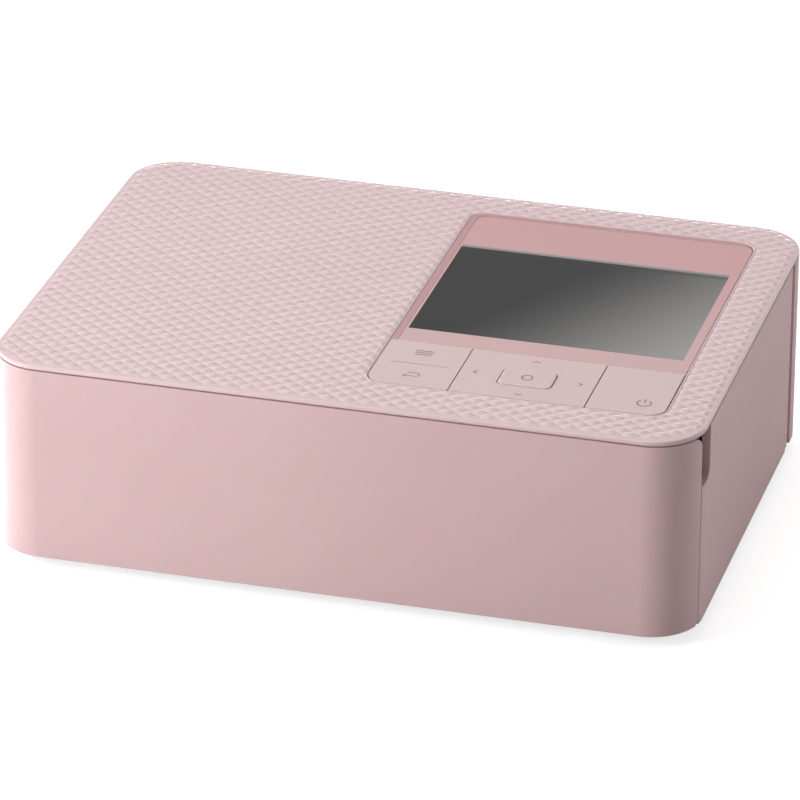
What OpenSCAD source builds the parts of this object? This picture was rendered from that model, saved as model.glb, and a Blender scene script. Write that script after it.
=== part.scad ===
// Compact photo printer: textured lid with a screen and keys, a front cover that folds
// down in front of the paper slot, and a side door for the ribbon cassette.
// +X is to the right, -Y is the front, +Z is up; the origin is under the middle of the body.

/* [Body] */
// Width of the body, left to right
body_w = 182.2; // [180:0.1:186]
// Depth of the body, front to back
body_d = 133; // [131:0.1:137]
// Height from the surface that it stands on to the top of the lid
body_h = 57.6; // [57:0.1:60]
// Radius of the four upright corners
corner_r = 13.5; // [12:0.1:15]
// Wall of the shells
wall = 2.2; // [1.8:0.1:2.4]
// Height of the shells' lower edge
skirt_z = 3.6; // [3.4:0.1:4]
// Gap between neighbouring shells
seam = 0.4; // [0.3:0.05:0.5]

/* [Lid] */
// Thickness of the lid
lid_t = 1.7; // [1.5:0.1:2]
// Rounding of the lid's upper edge
lid_round = 1.4; // [1:0.1:1.4]

/* [Control panel] */
// Width of the panel
panel_w = 76.3; // [75:0.1:77.5]
// Distance of the panel from the right side of the body
panel_in = 11.4; // [10.6:0.1:12.1]
// Distance of the panel from the front of the body
panel_front = 14.1; // [13.5:0.1:14.5]
// Distance of the panel from the rear of the body
panel_back = 11.5; // [11:0.1:12.5]
// Corner radius of the panel
panel_r = 4.8; // [4:0.1:5.5]
// Width of the sloping band along the panel's left and rear edge
band_w = 1.7; // [1.5:0.1:2]
// Width of the picture
screen_w = 71.1; // [70:0.1:71.5]
// Depth of the picture
screen_d = 53.3; // [52:0.1:53.5]
// Distance of the picture from the panel's left edge
screen_in = 2.6; // [2.4:0.1:3]
// Distance of the picture behind the line of the keys
screen_back = 7.8; // [7.5:0.1:8.1]

/* [Keys] */
// Depth of the row of keys
keys_d = 25.3; // [24.9:0.1:25.6]
// Width of the menu keys at the left
menu_w = 21.6; // [21.1:0.1:22.1]
// Width of the power key at the right
power_w = 20; // [19.2:0.1:20.7]
// Width of the middle key
ok_w = 13.5; // [13:0.1:14]
// Depth of the middle key
ok_d = 9; // [8.5:0.1:9.5]
// Distance of the middle key's centre from the panel's front edge
ok_up = 12; // [11.6:0.1:12.4]
// Corner radius of the middle key
ok_r = 1.5; // [1:0.1:2]
// Travel of the sprung keys
key_travel = 0.4; // [0.3:0.05:0.45]
// Gap round each key
key_gap = 0.3; // [0.25:0.05:0.35]

/* [Covers] */
// Depth of the front cover's side wings, behind the front face
wing_d = 10; // [9.5:0.1:10.5]
// Height of the front cover's hinge above the shells' lower edge
hinge_up = 1.8; // [1.8:0.1:2]
// Hinge line behind the front cover's outer face
hinge_in = 3.3; // [3.3:0.1:3.5]
// Distance of the side door from the rear of the body
door_back = 17; // [16.5:0.1:17.5]
// Depth of the finger notch in the side door
notch_w = 6.8; // [6:0.1:7]
// Height of the finger notch
notch_h = 14; // [12.5:0.1:14.5]
// Diameter of the hinge pins
pin_d = 2; // [1.8:0.1:2]
// Play round a shaft or hinge pin
play = 0.05; // [0.03:0.01:0.08]

/* [Paper path] */
// Width of the bay for motors and gears, left of the mechanism
bay_l = 31.1; // [31.1:0.1:33]
// Width of the bay right of the mechanism
bay_r = 39.1; // [38:0.1:40]
// Lower edge of the paper slot
slot_z0 = 8; // [7.5:0.5:8.5]
// Upper edge of the paper slot
slot_z1 = 32; // [31:0.5:33]
// Depth of the paper slot behind the front frame
slot_d = 37.5; // [36:0.5:38]
// Radius of the platen roller
platen_r = 5.5; // [5:0.1:6]
// Radius of the feed roller
feed_r = 4; // [3.8:0.1:4.2]
// Radius of the pinch roller
pinch_r = 2.2; // [2:0.1:2.3]
// Radius of the pickup tyres
pickup_r = 5; // [4.6:0.1:5.2]

/* [Ribbon cassette] */
// Distance between the two spools
spool_pitch = 40; // [39:0.1:41]
// Radius of the cassette's chambers
chamber_r = 11.5; // [11:0.1:12]
// Wall of the cassette
case_t = 1; // [0.8:0.1:1.2]
// Radius of the full spool
ribbon_r = 8.6; // [7:0.1:9]

/* [Gears] */
// Gear module
gear_m = 0.8; // [0.8]
// Width of the gears
gear_w = 4; // [3:0.5:5]
// Teeth of the motor pinions
pinion_n = 12; // [12]
// Teeth of the spool gear and idler gear
spool_n = 24; // [22:1:24]
// Teeth of the feed roller's gear
feed_n = 26; // [24:1:26]
// Teeth of the pickup gear
pickup_n = 16; // [14:1:16]

/* [Hidden] */
$fn = 48;
e = 0.01;                       // overshoot of a cut
left = -body_w / 2;
right = body_w / 2;
front = -body_d / 2;
rear = body_d / 2;
lid_z0 = body_h - lid_t;
shell_z1 = lid_z0 - seam;
wing_y = front + wing_d;
casing_y0 = wing_y + seam;
door_y1 = rear - door_back;
pink = "#dcbcbd";
pale = "#e0cacb";
grey = "#8d8f93";
steel = "silver";
black = "#2b2c2e";

// base
foot_d = 12;
foot_h = 2;
foot_sink = 0.6;
pan_z0 = foot_h - foot_sink;
pan_z1 = 4;
pan_in = wall + 0.3;
rim_h = 4;
rim_t = 1.6;
hinge_y = front + hinge_in;
hinge_z = skirt_z + hinge_up;
pan_y0 = hinge_y + 2.3;
ear_r = 1.8;
ear_w = 5;
ear_x = right - 25.1;          // inner end of the base ears of the front cover
boss_w = 6;

// side door
door_y0 = casing_y0;
door_roll = 3.4;                // radius of the door's rolled rear edge
door_hinge_x = right - door_roll;
door_hinge_y = door_y1 - door_roll;
ear_h = 3;
inner_x1 = right - wall - 4.2;
notch_z = shell_z1 - notch_h;

// places on the panel
panel_x1 = right - panel_in;
panel_x0 = panel_x1 - panel_w;
panel_y0 = front + panel_front;
panel_y1 = rear - panel_back;
key_line_y = panel_y0 + keys_d;
pad_x0 = panel_x0 + menu_w;
pad_x1 = panel_x1 - power_w;
screen_x0 = panel_x0 + screen_in;
screen_y0 = key_line_y + screen_back;
ok_x = (pad_x0 + pad_x1) / 2;
ok_y = panel_y0 + ok_up;

// panel levels
lens_top = body_h - 0.4;
lens_t = 1.2;
tray_z1 = lens_top - lens_t;
tray_t = 1.2;
tray_z0 = tray_z1 - tray_t;
well_z1 = tray_z0 - 0.6;        // floor of the well under the keys
well_t = 1;
well_z0 = well_z1 - well_t;
key_top = body_h - 0.3;
key_t = 1.6;
key_z0 = key_top - key_t;
seat_y = key_line_y + key_gap / 2; // front edge of the lens
ok_top = body_h;
dome_t = 0.4;
dome_z0 = well_z0 - 1.6;
kboard_t = 1;
kboard_z0 = dome_z0 - kboard_t;
stem_z0 = dome_z0 + dome_t + key_travel + 0.1;
lcd_t = 3.2;
lcd_z0 = tray_z0 - lcd_t;

// paper path, in the y, z plane
takeup_y = -10;
takeup_z = 35;
supply_y = takeup_y + spool_pitch;
platen_y = takeup_y + 20;
platen_z = 14.5;
feed_y = platen_y + 12.5;
feed_z = platen_z + platen_r - feed_r;
pinch_y = feed_y;
pinch_z = feed_z + feed_r + pinch_r + 0.3;
plate_l = left + bay_l;         // outer face of the left side plate
plate_r = right - bay_r;        // inner face of the right side plate
plate_t = 1.2;
frame_t = 1.5;
frame_y0 = casing_y0 - 3.3;     // front face of the inner frame
plate_y0 = frame_y0 + frame_t + 0.4;
fan_t = 8;
fan_y1 = rear - wall - 0.3;
plate_y1 = fan_y1 - fan_t - 2;
plate_z0 = pan_z1;
plate_z1 = 46;
roll_x0 = plate_l + plate_t + 0.8;
roll_x1 = plate_r - 0.8;
axle_r = 1.5;
gear_x = plate_l - gear_w - 1.4;

pinion_r = gear_m * pinion_n / 2;
spool_gr = gear_m * spool_n / 2;
feed_gr = gear_m * feed_n / 2;
pickup_gr = gear_m * pickup_n / 2;
idler_gr = spool_gr;
pickup_z = 38;
train = spool_gr + 2 * idler_gr + pickup_gr;
pickup_y = takeup_y - sqrt(train * train - pow(pickup_z - takeup_z, 2));
train_a = atan2(pickup_z - takeup_z, pickup_y - takeup_y);
idler_y = takeup_y + (spool_gr + idler_gr) * cos(train_a);
idler_z = takeup_z + (spool_gr + idler_gr) * sin(train_a);
ribbon_motor_y = takeup_y;
ribbon_motor_z = takeup_z - spool_gr - pinion_r;
feed_motor_y = feed_y + feed_gr + pinion_r;
feed_motor_z = feed_z;
motor_r = 11;
motor_w = 11;
motor_back = 2.4;               // from the gears back to the motors
motor_x1 = gear_x - motor_back; // face of the motors on their bracket
bracket_t = 1.2;

// phases that put a tooth of one gear in a gap of the next
function mesh(pa, na, nb, way) = way + 180 + 180 / nb - (pa - way) * na / nb;
spool_ph = train_a + 180 / spool_n;
idler_ph = train_a;
pickup_ph = train_a + 180 + 180 / pickup_n;
ribbon_ph = mesh(spool_ph, spool_n, pinion_n, -90);
feed_ph = 0;
feed_pinion_ph = mesh(feed_ph, feed_n, pinion_n, 0);

// print head
head_axis_y = supply_y + 20;
head_axis_z = 43;
head_w = 13;
head_gap = 3.3;                  // lift of the head at rest
film_z = takeup_z - chamber_r + 2;
film_t = 0.2;
head_z0 = film_z + film_t + head_gap;

// fan
fan_x0 = plate_r - 2;
fan_side = 28;
fan_z0 = 12;
fan_cx = fan_x0 + fan_side / 2;
fan_cz = fan_z0 + fan_side / 2;

// sockets
jack_x = left + 19.1;
jack_z = 14;
jack_w = 9;
jack_d = 7.4;
jack_bore_r = 3.2;
board_end = 16.5;               // board from the front and rear of the body
card_y0 = front + board_end + 12;
card_w = 26;
card_h = 2.4;
card_deep = 22;
card_shell_h = 3.4;
usb_y = card_y0 + card_w + 8;
usb_deep = 7.4;
usb_w = 9;
usb_h = 3.3;
board_t = 1.6;
board_z1 = lid_z0 - 11.4;
board_x0 = left + wall + 1;
board_w = 20.9;
board_x1 = board_x0 + board_w;
board_y0 = front + board_end;
board_y1 = rear - board_end;
board_screw_in = 4;             // screws of the board from its edges
socket_z = board_z1 + 1.5;      // middle of the card slot and of the data socket

// ---- shapes used by several pieces ----

// rounded rectangle between two corners
module pane(x0, y0, x1, y1, r) {
    translate([x0 + r, y0]) square([x1 - x0 - 2 * r, y1 - y0]);
    translate([x0, y0 + r]) square([x1 - x0, y1 - y0 - 2 * r]);
    for (x = [x0 + r, x1 - r], y = [y0 + r, y1 - r]) translate([x, y]) circle(r);
}

// outline of the body, drawn in by a distance
module plan(inset = 0) {
    pane(left + inset, front + inset, right - inset, rear - inset, corner_r - inset);
}

module block(a, b) {
    translate(a) cube(b - a);
}

// child profile in y, z, drawn out along x
module along_x(x, y = 0, z = 0) {
    translate([x, y, z]) rotate([90, 0, 90]) children();
}

module rod_x(x0, x1, y, z, r) {
    along_x(x0, y, z) cylinder(r = r, h = x1 - x0);
}

module rod_y(y0, y1, x, z, r) {
    translate([x, y1, z]) rotate([90, 0, 0]) cylinder(r = r, h = y1 - y0);
}

module rod_z(z0, z1, x, y, r) {
    translate([x, y, z0]) cylinder(r = r, h = z1 - z0);
}

// upright ring of the shells
module shell_ring() {
    translate([0, 0, skirt_z]) linear_extrude(shell_z1 - skirt_z) difference() {
        plan();
        plan(wall);
    }
}

// involute gear along x with a bore, its first tooth at the angle ph
function inv_pt(rb, t) = rb * [cos(t) + t * PI / 180 * sin(t), sin(t) - t * PI / 180 * cos(t)];
function turned(p, a) = [p[0] * cos(a) - p[1] * sin(a), p[0] * sin(a) + p[1] * cos(a)];
module gear(n, x, y, z, ph, bore) {
    rp = gear_m * n / 2;
    rb = rp * cos(20);
    tip = rp + 0.9 * gear_m;
    root = rp - 1.15 * gear_m;
    start = max(rb, root);
    t0 = sqrt(pow(start / rb, 2) - 1) * 180 / PI;
    t1 = sqrt(pow(tip / rb, 2) - 1) * 180 / PI;
    inv = (tan(20) - 20 * PI / 180) * 180 / PI;
    half = 90 / n - 0.09 / rp * 180 / PI + inv;     // half tooth at the base circle, less backlash
    flank = [for (i = [0:3]) turned(inv_pt(rb, t0 + (t1 - t0) * i / 3), -half)];
    foot = root * [cos(half), -sin(half)];
    side = concat([foot], flank);
    one = concat(side, [for (i = [len(side) - 1:-1:0]) [side[i][0], -side[i][1]]]);
    along_x(x, y, z) linear_extrude(gear_w) difference() {
        polygon([for (k = [0:n - 1], p = one) turned(p, ph + k * 360 / n)]);
        circle(bore);
    }
}

// ---- base, casing and lid ----

post_r = 3;
post_z1 = 12;
screw_r = 1.2;
screw_head_r = 2.4;
screw_head_h = 1.4;
casing_posts = [[left + 9, rear - 9.5], [right - 9, rear - 9.5], [left + 7.5, casing_y0 + 5]];
frame_posts = [[inner_x1 - 8, casing_y0 + 5]];
foot_at = [for (x = [left + 24, right - 24], y = [front + 20, rear - 18]) [x, y]];

module foot_pads() {
    color(black) for (p = foot_at) rod_z(0, foot_h, p[0], p[1], foot_d / 2);
}

rim_in = 12;                    // open part of the rim, from the front and the sides
rim_past_door = 4;              // end of the rim behind the door's opening
module base_pan() {
    r = corner_r - pan_in;
    color(grey) difference() {
        union() {
            translate([0, 0, pan_z0]) linear_extrude(pan_z1 - pan_z0)
                pane(left + pan_in, pan_y0, right - pan_in, rear - pan_in, r);
            // rim inside the casing
            translate([0, 0, pan_z1 - e]) linear_extrude(rim_h) difference() {
                pane(left + pan_in, casing_y0 + rim_in, right - pan_in, rear - pan_in, r);
                pane(left + pan_in + rim_t, casing_y0 + rim_in + rim_t,
                     right - pan_in - rim_t, rear - pan_in - rim_t, r - rim_t);
                translate([inner_x1 - 3, front]) square([body_w, door_y1 - front + rim_past_door]);
                translate([left + rim_in, front])
                    square([body_w - 2 * rim_in, casing_y0 + rim_in + corner_r - front]);
            }
            for (s = [-1, 1]) {
                x0 = s > 0 ? ear_x : -ear_x - ear_w;
                rod_x(x0, x0 + ear_w, hinge_y, hinge_z, ear_r);
                block([x0, hinge_y, skirt_z], [x0 + ear_w, pan_y0 + 1.2, hinge_z + ear_r]);
            }
        }
        for (s = [-1, 1])
            rod_x(s * ear_x - ear_w - 1, s * ear_x + ear_w + 1, hinge_y, hinge_z, pin_d / 2 + 0.02);
        for (p = foot_at) rod_z(0, foot_h, p[0], p[1], foot_d / 2 + 0.05);
        for (p = concat(casing_posts, frame_posts)) {
            rod_z(0, pan_z1 + 1, p[0], p[1], screw_r + 0.1);
            rod_z(0, pan_z0 + screw_head_h, p[0], p[1], screw_head_r + 0.2);
        }
    }
}

module cover_hinge_pins() {
    color(steel) for (s = [-1, 1])
        rod_x(s > 0 ? ear_x - boss_w - 0.3 : -ear_x - ear_w,
              s > 0 ? ear_x + ear_w : -ear_x + boss_w + 0.3, hinge_y, hinge_z, pin_d / 2);
}

module case_screws() {
    color(steel) for (p = concat(casing_posts, frame_posts)) {
        rod_z(pan_z0 + 0.1, pan_z0 + screw_head_h, p[0], p[1], screw_head_r);
        rod_z(pan_z0 + 0.1, post_z1 - 1.5, p[0], p[1], screw_r);
    }
}

vent_n = 7;
vent_w = 1.6;
vent_step = 3.4;
slot_x0 = plate_l + 8;          // paper slot, left and right edge
slot_x1 = plate_r - 4;
sheet_z = platen_z + platen_r;  // level of the sheet
rear_slot = [slot_x0 - 4, slot_x1, sheet_z - 2.5, sheet_z + 4.5];      // x from, x to, z from, z to
module casing() {
    color(pink) difference() {
        union() {
            intersection() {
                shell_ring();
                union() {
                    block([left - 1, casing_y0, 0], [0, rear + 1, body_h]);
                    block([-1, rear - corner_r, 0], [right - corner_r, rear + 1, body_h]);
                    block([right - corner_r - 1, door_y1 + seam, 0], [right + 1, rear + 1, body_h]);
                }
            }
            for (p = casing_posts) rod_z(pan_z1, post_z1, p[0], p[1], post_r);
            // webs that tie the posts to the walls
            block([left + 1, casing_posts[0][1] - 0.6, pan_z1 + rim_h + 0.3],
                  [casing_posts[0][0], casing_posts[0][1] + 0.6, post_z1]);
            block([casing_posts[1][0], casing_posts[1][1] - 0.6, pan_z1 + rim_h + 0.3],
                  [right - 1, casing_posts[1][1] + 0.6, post_z1]);
            block([left + 1, casing_posts[2][1] - 0.6, pan_z1 + 0.3],
                  [casing_posts[2][0], casing_posts[2][1] + 0.6, post_z1]);
        }
        for (p = casing_posts) rod_z(0, post_z1 - 1, p[0], p[1], screw_r + 0.02);
        block([rear_slot[0], rear - wall - 1, rear_slot[2]], [rear_slot[1], rear + 1, rear_slot[3]]);
        for (i = [0:vent_n - 1]) {
            z = fan_cz + (i - (vent_n - 1) / 2) * vent_step;
            block([fan_x0 + 2, rear - wall - 1, z - vent_w / 2],
                  [fan_x0 + fan_side - 2, rear + 1, z + vent_w / 2]);
        }
        rod_y(rear - wall - 1, rear + 1, jack_x, jack_z, jack_bore_r + 0.4);
        block([left - 1, card_y0 - 0.5, socket_z - card_h / 2],
              [left + wall + 1, card_y0 + card_w + 0.5, socket_z + card_h / 2]);
        block([left - 1, usb_y - usb_w / 2 - 0.2, socket_z - usb_h / 2 - 0.2],
              [left + wall + 1, usb_y + usb_w / 2 + 0.2, socket_z + usb_h / 2 + 0.2]);
    }
}

lip_t = 1.2;
lip_h = 2.2;

// section of the lid with both upper edges rolled
module lid_section(w) {
    translate([-w / 2 + lid_round, 0]) square([w - 2 * lid_round, lid_t]);
    translate([-w / 2, 0]) square([w, lid_t - lid_round]);
    for (s = [-1, 1]) translate([s * (w / 2 - lid_round), lid_t - lid_round]) circle(lid_round);
}

module lid_corner() {
    intersection() {
        rotate_extrude() intersection() {
            lid_section(2 * corner_r);
            square([corner_r, lid_t]);
        }
        cylinder(r = corner_r + 1, h = lid_t);
    }
}

module top_lid() {
    color(pink) difference() {
        union() {
            intersection() {
                along_x(left + corner_r, 0, lid_z0)
                    linear_extrude(body_w - 2 * corner_r) lid_section(body_d);
                block([left, front, lid_z0], [right, rear, body_h]);
            }
            intersection() {
                translate([0, front + corner_r, lid_z0]) rotate([90, 0, 180])
                    linear_extrude(body_d - 2 * corner_r) lid_section(body_w);
                block([left, front, lid_z0], [right, rear, body_h]);
            }
            for (x = [left + corner_r, right - corner_r], y = [front + corner_r, rear - corner_r])
                translate([x, y, lid_z0]) lid_corner();
            // lip that locates the lid inside the casing
            translate([0, 0, lid_z0 - lip_h]) linear_extrude(lip_h + e) difference() {
                plan(wall + 0.3);
                plan(wall + 0.3 + lip_t);
                translate([left, front]) square([body_w, wing_d + 4]);
                translate([right - 20, front]) square([30, door_y1 - front + 4]);
            }
        }
        translate([0, 0, lid_z0 - 1]) linear_extrude(lid_t + 2)
            pane(panel_x0, panel_y0, panel_x1, panel_y1, panel_r);
    }
}

// ---- control panel ----

tray_gap = 0.15;
pivot_r = 0.45;
pivot_ear = 1;
pivot_z = well_z1 + 0.75;
rocker_y = (panel_y0 + key_line_y) / 2;
well_wall = 0.8;
well_rim = key_z0 - 0.7;
stem_r = 1.2;
gim_x = 9.5;
gim_y = 6.5;
gim_t = 0.8;
gim_pin = 0.35;
gim_reach = 2.3;                // length of the gimbal's pins outside its ring
gim_lug = 1.2;
lug_out = 1.6;                  // middle of the lugs from the gimbal's ring
win_y = 10.5;
pin_in_l = 3.6;                 // ears of the menu key's pin, from the key's ends
pin_in_r = 4;
menu_x0 = panel_x0 + key_gap;
menu_x1 = pad_x0 - key_gap / 2;
nav_x0 = pad_x0 + key_gap / 2;
nav_x1 = pad_x1 - key_gap / 2;
power_x0 = pad_x1 + key_gap / 2;
power_x1 = panel_x1 - key_gap;
keys_y0 = panel_y0 + key_gap;
keys_y1 = key_line_y - key_gap / 2;
key_r = panel_r - key_gap;
ok_stem = [6, 4];
power_at = [for (x = [power_x0 + 4, power_x1 - 4]) [x, rocker_y]];
menu_stems = [for (o = [6.7, -6.7]) [menu_x0 + 10.5, rocker_y + o]];
nav_stems = [[ok_x - 14.5, ok_y], [ok_x + 14.5, ok_y], [ok_x + 8, ok_y + 11], [ok_x + 8, ok_y - 10]];

// block at a lug that carries the gimbal's left or right pin, grown by a gap
module gim_block(s, gap, half_d, z0, z1) {
    x = ok_x + s * (gim_x + lug_out);
    block([x - gim_lug / 2 - gap, ok_y - half_d, z0], [x + gim_lug / 2 + gap, ok_y + half_d, z1]);
}

module key_ears(x) {
    // two ears that carry a rocker pin along x
    for (o = [-1.8, 0.8]) difference() {
        block([x + o, rocker_y - 1.1, well_z0], [x + o + pivot_ear, rocker_y + 1.1, pivot_z + 0.6]);
        rod_x(x + o - 1, x + o + pivot_ear + 1, rocker_y, pivot_z, pivot_r + play);
    }
}

module panel_tray() {
    x0 = panel_x0 + tray_gap;
    x1 = panel_x1 - tray_gap;
    y0 = panel_y0 + tray_gap;
    y1 = panel_y1 - tray_gap;
    r = panel_r - tray_gap;
    color(pale) difference() {
        union() {
            // seat of the lens
            intersection() {
                translate([0, 0, tray_z0]) linear_extrude(tray_t) pane(x0, y0, x1, y1, r);
                block([x0, seat_y, 0], [x1, y1, body_h]);
            }
            // band along the left and rear edge
            translate([0, 0, tray_z0]) linear_extrude(lens_top - tray_z0) difference() {
                pane(x0, seat_y - 10, x1, y1, r);
                translate([x0 + band_w, seat_y - 11]) square([x1 - x0, y1 - band_w - seat_y + 11]);
                translate([x0 - 1, seat_y - 11]) square([band_w + 2, 11]);
            }
            // well under the keys
            translate([0, 0, well_z0]) linear_extrude(well_t)
                pane(x0, y0, x1, seat_y + 6, r);
            translate([0, 0, well_z0]) linear_extrude(well_rim - well_z0) difference() {
                pane(x0, y0, x1, seat_y + 6, r);
                pane(x0 + well_wall, y0 + well_wall, x1 - well_wall, seat_y + 7, r - well_wall);
            }
            block([x0, seat_y, well_z0], [x1, seat_y + well_wall, tray_z1]);
            for (s = [-1, 1]) gim_block(s, 0, 1.2, well_z0, pivot_z + 0.6);
            block([power_x0 - 0.4, y0, well_z0], [power_x0 + 0.1, seat_y, well_rim - 0.4]);
            block([nav_x0 - 0.4, y0, well_z0], [nav_x0 + 0.1, seat_y, well_rim - 0.4]);
        }
        // opening of the screen
        block([screen_x0 - 0.6, screen_y0 - 0.6, 0],
              [screen_x0 + screen_w + 0.6, screen_y0 + screen_d + 0.6, body_h]);
        block([x0 - 1, seat_y + well_wall, well_z0 - 1], [x1 + 1, seat_y + 8, tray_z0]);
        // window under the four-way pad's rocker
        block([ok_x - gim_x - 0.6, ok_y - win_y, 0], [ok_x + gim_x + 0.6, ok_y + win_y, well_z1 + e]);
        for (p = concat(menu_stems, nav_stems)) rod_z(0, body_h, p[0], p[1], stem_r + 0.4);
        for (p = power_at) rod_z(0, body_h, p[0], p[1], stem_r + play);
        rod_x(ok_x - gim_x - 4, ok_x + gim_x + 4, ok_y, pivot_z, gim_pin + play);
    }
    color(pale) for (x = [menu_x0 + pin_in_l, menu_x1 - pin_in_r]) key_ears(x);
}

module display_window() {
    g = tray_gap;
    color("#c9a2a6", 0.6) translate([0, 0, tray_z1]) linear_extrude(lens_t) intersection() {
        pane(panel_x0 + g + band_w, seat_y - panel_r, panel_x1 - g, panel_y1 - g - band_w, panel_r - band_w);
        translate([panel_x0, seat_y]) square([panel_x1 - panel_x0, panel_y1 - seat_y]);
    }
}

lcd_side = 2.45;                // rim of the screen module beside the picture
lcd_end = 4.35;
module lcd_module() {
    color(black) block([screen_x0 - lcd_side, screen_y0 - lcd_end, lcd_z0],
                       [screen_x0 + screen_w + lcd_side, screen_y0 + screen_d + lcd_end, tray_z0]);
}

module control_board() {
    color("seagreen") block([panel_x0 + 3, panel_y0 + 3, kboard_z0],
                            [panel_x1 - 3, key_line_y - 1, dome_z0]);
    // spacers up to the well
    color("seagreen") for (x = [panel_x0 + 5, panel_x1 - 5], y = [panel_y0 + 5])
        rod_z(kboard_z0, well_z0, x, y, 1.5);
}

module key_dome_sheet() {
    color("#d8d8d2") difference() {
        block([panel_x0 + 8, panel_y0 + 3.5, dome_z0], [panel_x1 - 8, key_line_y - 2, dome_z0 + dome_t]);
        rod_z(0, body_h, panel_x0 + 5, panel_y0 + 5, 2);
    }
}

// cap of a key: outer corners follow the panel
module key_cap(x0, x1) {
    color(pale) translate([0, 0, key_z0]) linear_extrude(key_t) intersection() {
        pane(panel_x0 + key_gap, keys_y0, panel_x1 - key_gap, keys_y1 + 20, key_r);
        translate([x0, keys_y0]) square([x1 - x0, keys_y1 - keys_y0]);
    }
}

module menu_key() {
    key_cap(menu_x0, menu_x1);
    color(pale) for (x = [menu_x0 + pin_in_l, menu_x1 - pin_in_r]) {
        block([x - 0.5, rocker_y - 0.8, pivot_z - 0.5], [x + 0.5, rocker_y + 0.8, key_z0 + e]);
        rod_x(x - 1.9, x + 1.9, rocker_y, pivot_z, pivot_r);
    }
    color(pale) for (p = menu_stems) rod_z(stem_z0, key_z0 + e, p[0], p[1], stem_r);
}

module pad_gimbal() {
    color(grey) difference() {
        block([ok_x - gim_x, ok_y - gim_y, pivot_z - gim_t / 2],
              [ok_x + gim_x, ok_y + gim_y, pivot_z + gim_t / 2]);
        block([ok_x - ok_stem[0] / 2 - 2, ok_y - ok_stem[1] / 2 - 2, 0],
              [ok_x + ok_stem[0] / 2 + 2, ok_y + ok_stem[1] / 2 + 2, body_h]);
    }
    color(grey) for (s = [-1, 1]) {
        rod_x(ok_x + min(s * (gim_x - 1), s * (gim_x + gim_reach)),
              ok_x + max(s * (gim_x - 1), s * (gim_x + gim_reach)), ok_y, pivot_z, gim_pin);
        rod_y(ok_y + min(s * (gim_y - 1), s * (gim_y + gim_reach)),
              ok_y + max(s * (gim_y - 1), s * (gim_y + gim_reach)), ok_x, pivot_z, gim_pin);
    }
}

module nav_pad() {
    difference() {
        key_cap(nav_x0, nav_x1);
        translate([0, 0, key_z0 - 1]) linear_extrude(key_t + 2)
            pane(ok_x - ok_w / 2 - key_gap, ok_y - ok_d / 2 - key_gap,
                 ok_x + ok_w / 2 + key_gap, ok_y + ok_d / 2 + key_gap, ok_r + key_gap);
        // room over the ears as the pad tilts
        for (s = [-1, 1]) gim_block(s, key_gap, 1.5, 0, key_z0 + 0.4);
    }
    color(pale) for (s = [-1, 1]) difference() {
        block([ok_x - 1.2, ok_y + s * (gim_y + lug_out) - gim_lug / 2, pivot_z - 0.8],
              [ok_x + 1.2, ok_y + s * (gim_y + lug_out) + gim_lug / 2, key_z0 + e]);
        rod_y(ok_y - 20, ok_y + 20, ok_x, pivot_z, gim_pin + play);
    }
    color(pale) for (p = nav_stems) rod_z(stem_z0, key_z0 + e, p[0], p[1], stem_r);
}

module ok_key() {
    color(pale) translate([0, 0, key_z0 + 0.3]) linear_extrude(ok_top - key_z0 - 0.3)
        pane(ok_x - ok_w / 2, ok_y - ok_d / 2, ok_x + ok_w / 2, ok_y + ok_d / 2, ok_r);
    color(pale) block([ok_x - ok_stem[0] / 2, ok_y - ok_stem[1] / 2, stem_z0],
                      [ok_x + ok_stem[0] / 2, ok_y + ok_stem[1] / 2, key_z0 + 0.3 + e]);
}

module power_key() {
    key_cap(power_x0, power_x1);
    color(pale) for (p = power_at) rod_z(stem_z0, key_z0 + e, p[0], p[1], stem_r);
}

// ---- front cover and side door ----

wing_r_low = 1.5;
wing_r_top = 3;
rib_in = 21.1;                  // stiffening rib, from the sides
module front_cover() {
    color(pale) difference() {
        union() {
            intersection() {
                shell_ring();
                along_x(left - 1) linear_extrude(body_w + 2) difference() {
                    translate([front - 1, skirt_z]) square([wing_d + 1, shell_z1 - skirt_z]);
                    // rounded rear corners of the wings
                    translate([wing_y - wing_r_low, skirt_z - e]) difference() {
                        square([wing_r_low + 1, wing_r_low + e]);
                        translate([0, wing_r_low + e]) circle(wing_r_low);
                    }
                    translate([wing_y - wing_r_top, shell_z1 - wing_r_top]) difference() {
                        square([wing_r_top + 1, wing_r_top + 1]);
                        circle(wing_r_top);
                    }
                }
            }
            for (s = [-1, 1]) {
                x0 = s > 0 ? ear_x - boss_w - 0.3 : -ear_x + 0.3;
                difference() {
                    rod_x(x0, x0 + boss_w, hinge_y, hinge_z, ear_r);
                    block([x0 - 1, front - 1, 0], [x0 + boss_w + 1, front + 1, 20]);
                }
            }
            // stiffening rib inside the upper edge
            block([left + rib_in, front + wall - 0.5, shell_z1 - 3],
                  [right - rib_in, front + wall + 1, shell_z1 - 1.5]);
        }
        for (s = [-1, 1]) {
            x0 = s > 0 ? ear_x : -ear_x - ear_w;
            rod_x(x0 - 0.3, x0 + ear_w + 0.3, hinge_y, hinge_z, ear_r + 0.3);
            block([x0 - 0.3, hinge_y - ear_r - 0.3, 0], [x0 + ear_w + 0.3, hinge_y + 5, hinge_z]);
            rod_x(s > 0 ? ear_x - boss_w - 4 : -ear_x - 1, s > 0 ? ear_x + 1 : -ear_x + boss_w + 4,
                  hinge_y, hinge_z, pin_d / 2 + play);
        }
    }
}

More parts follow.
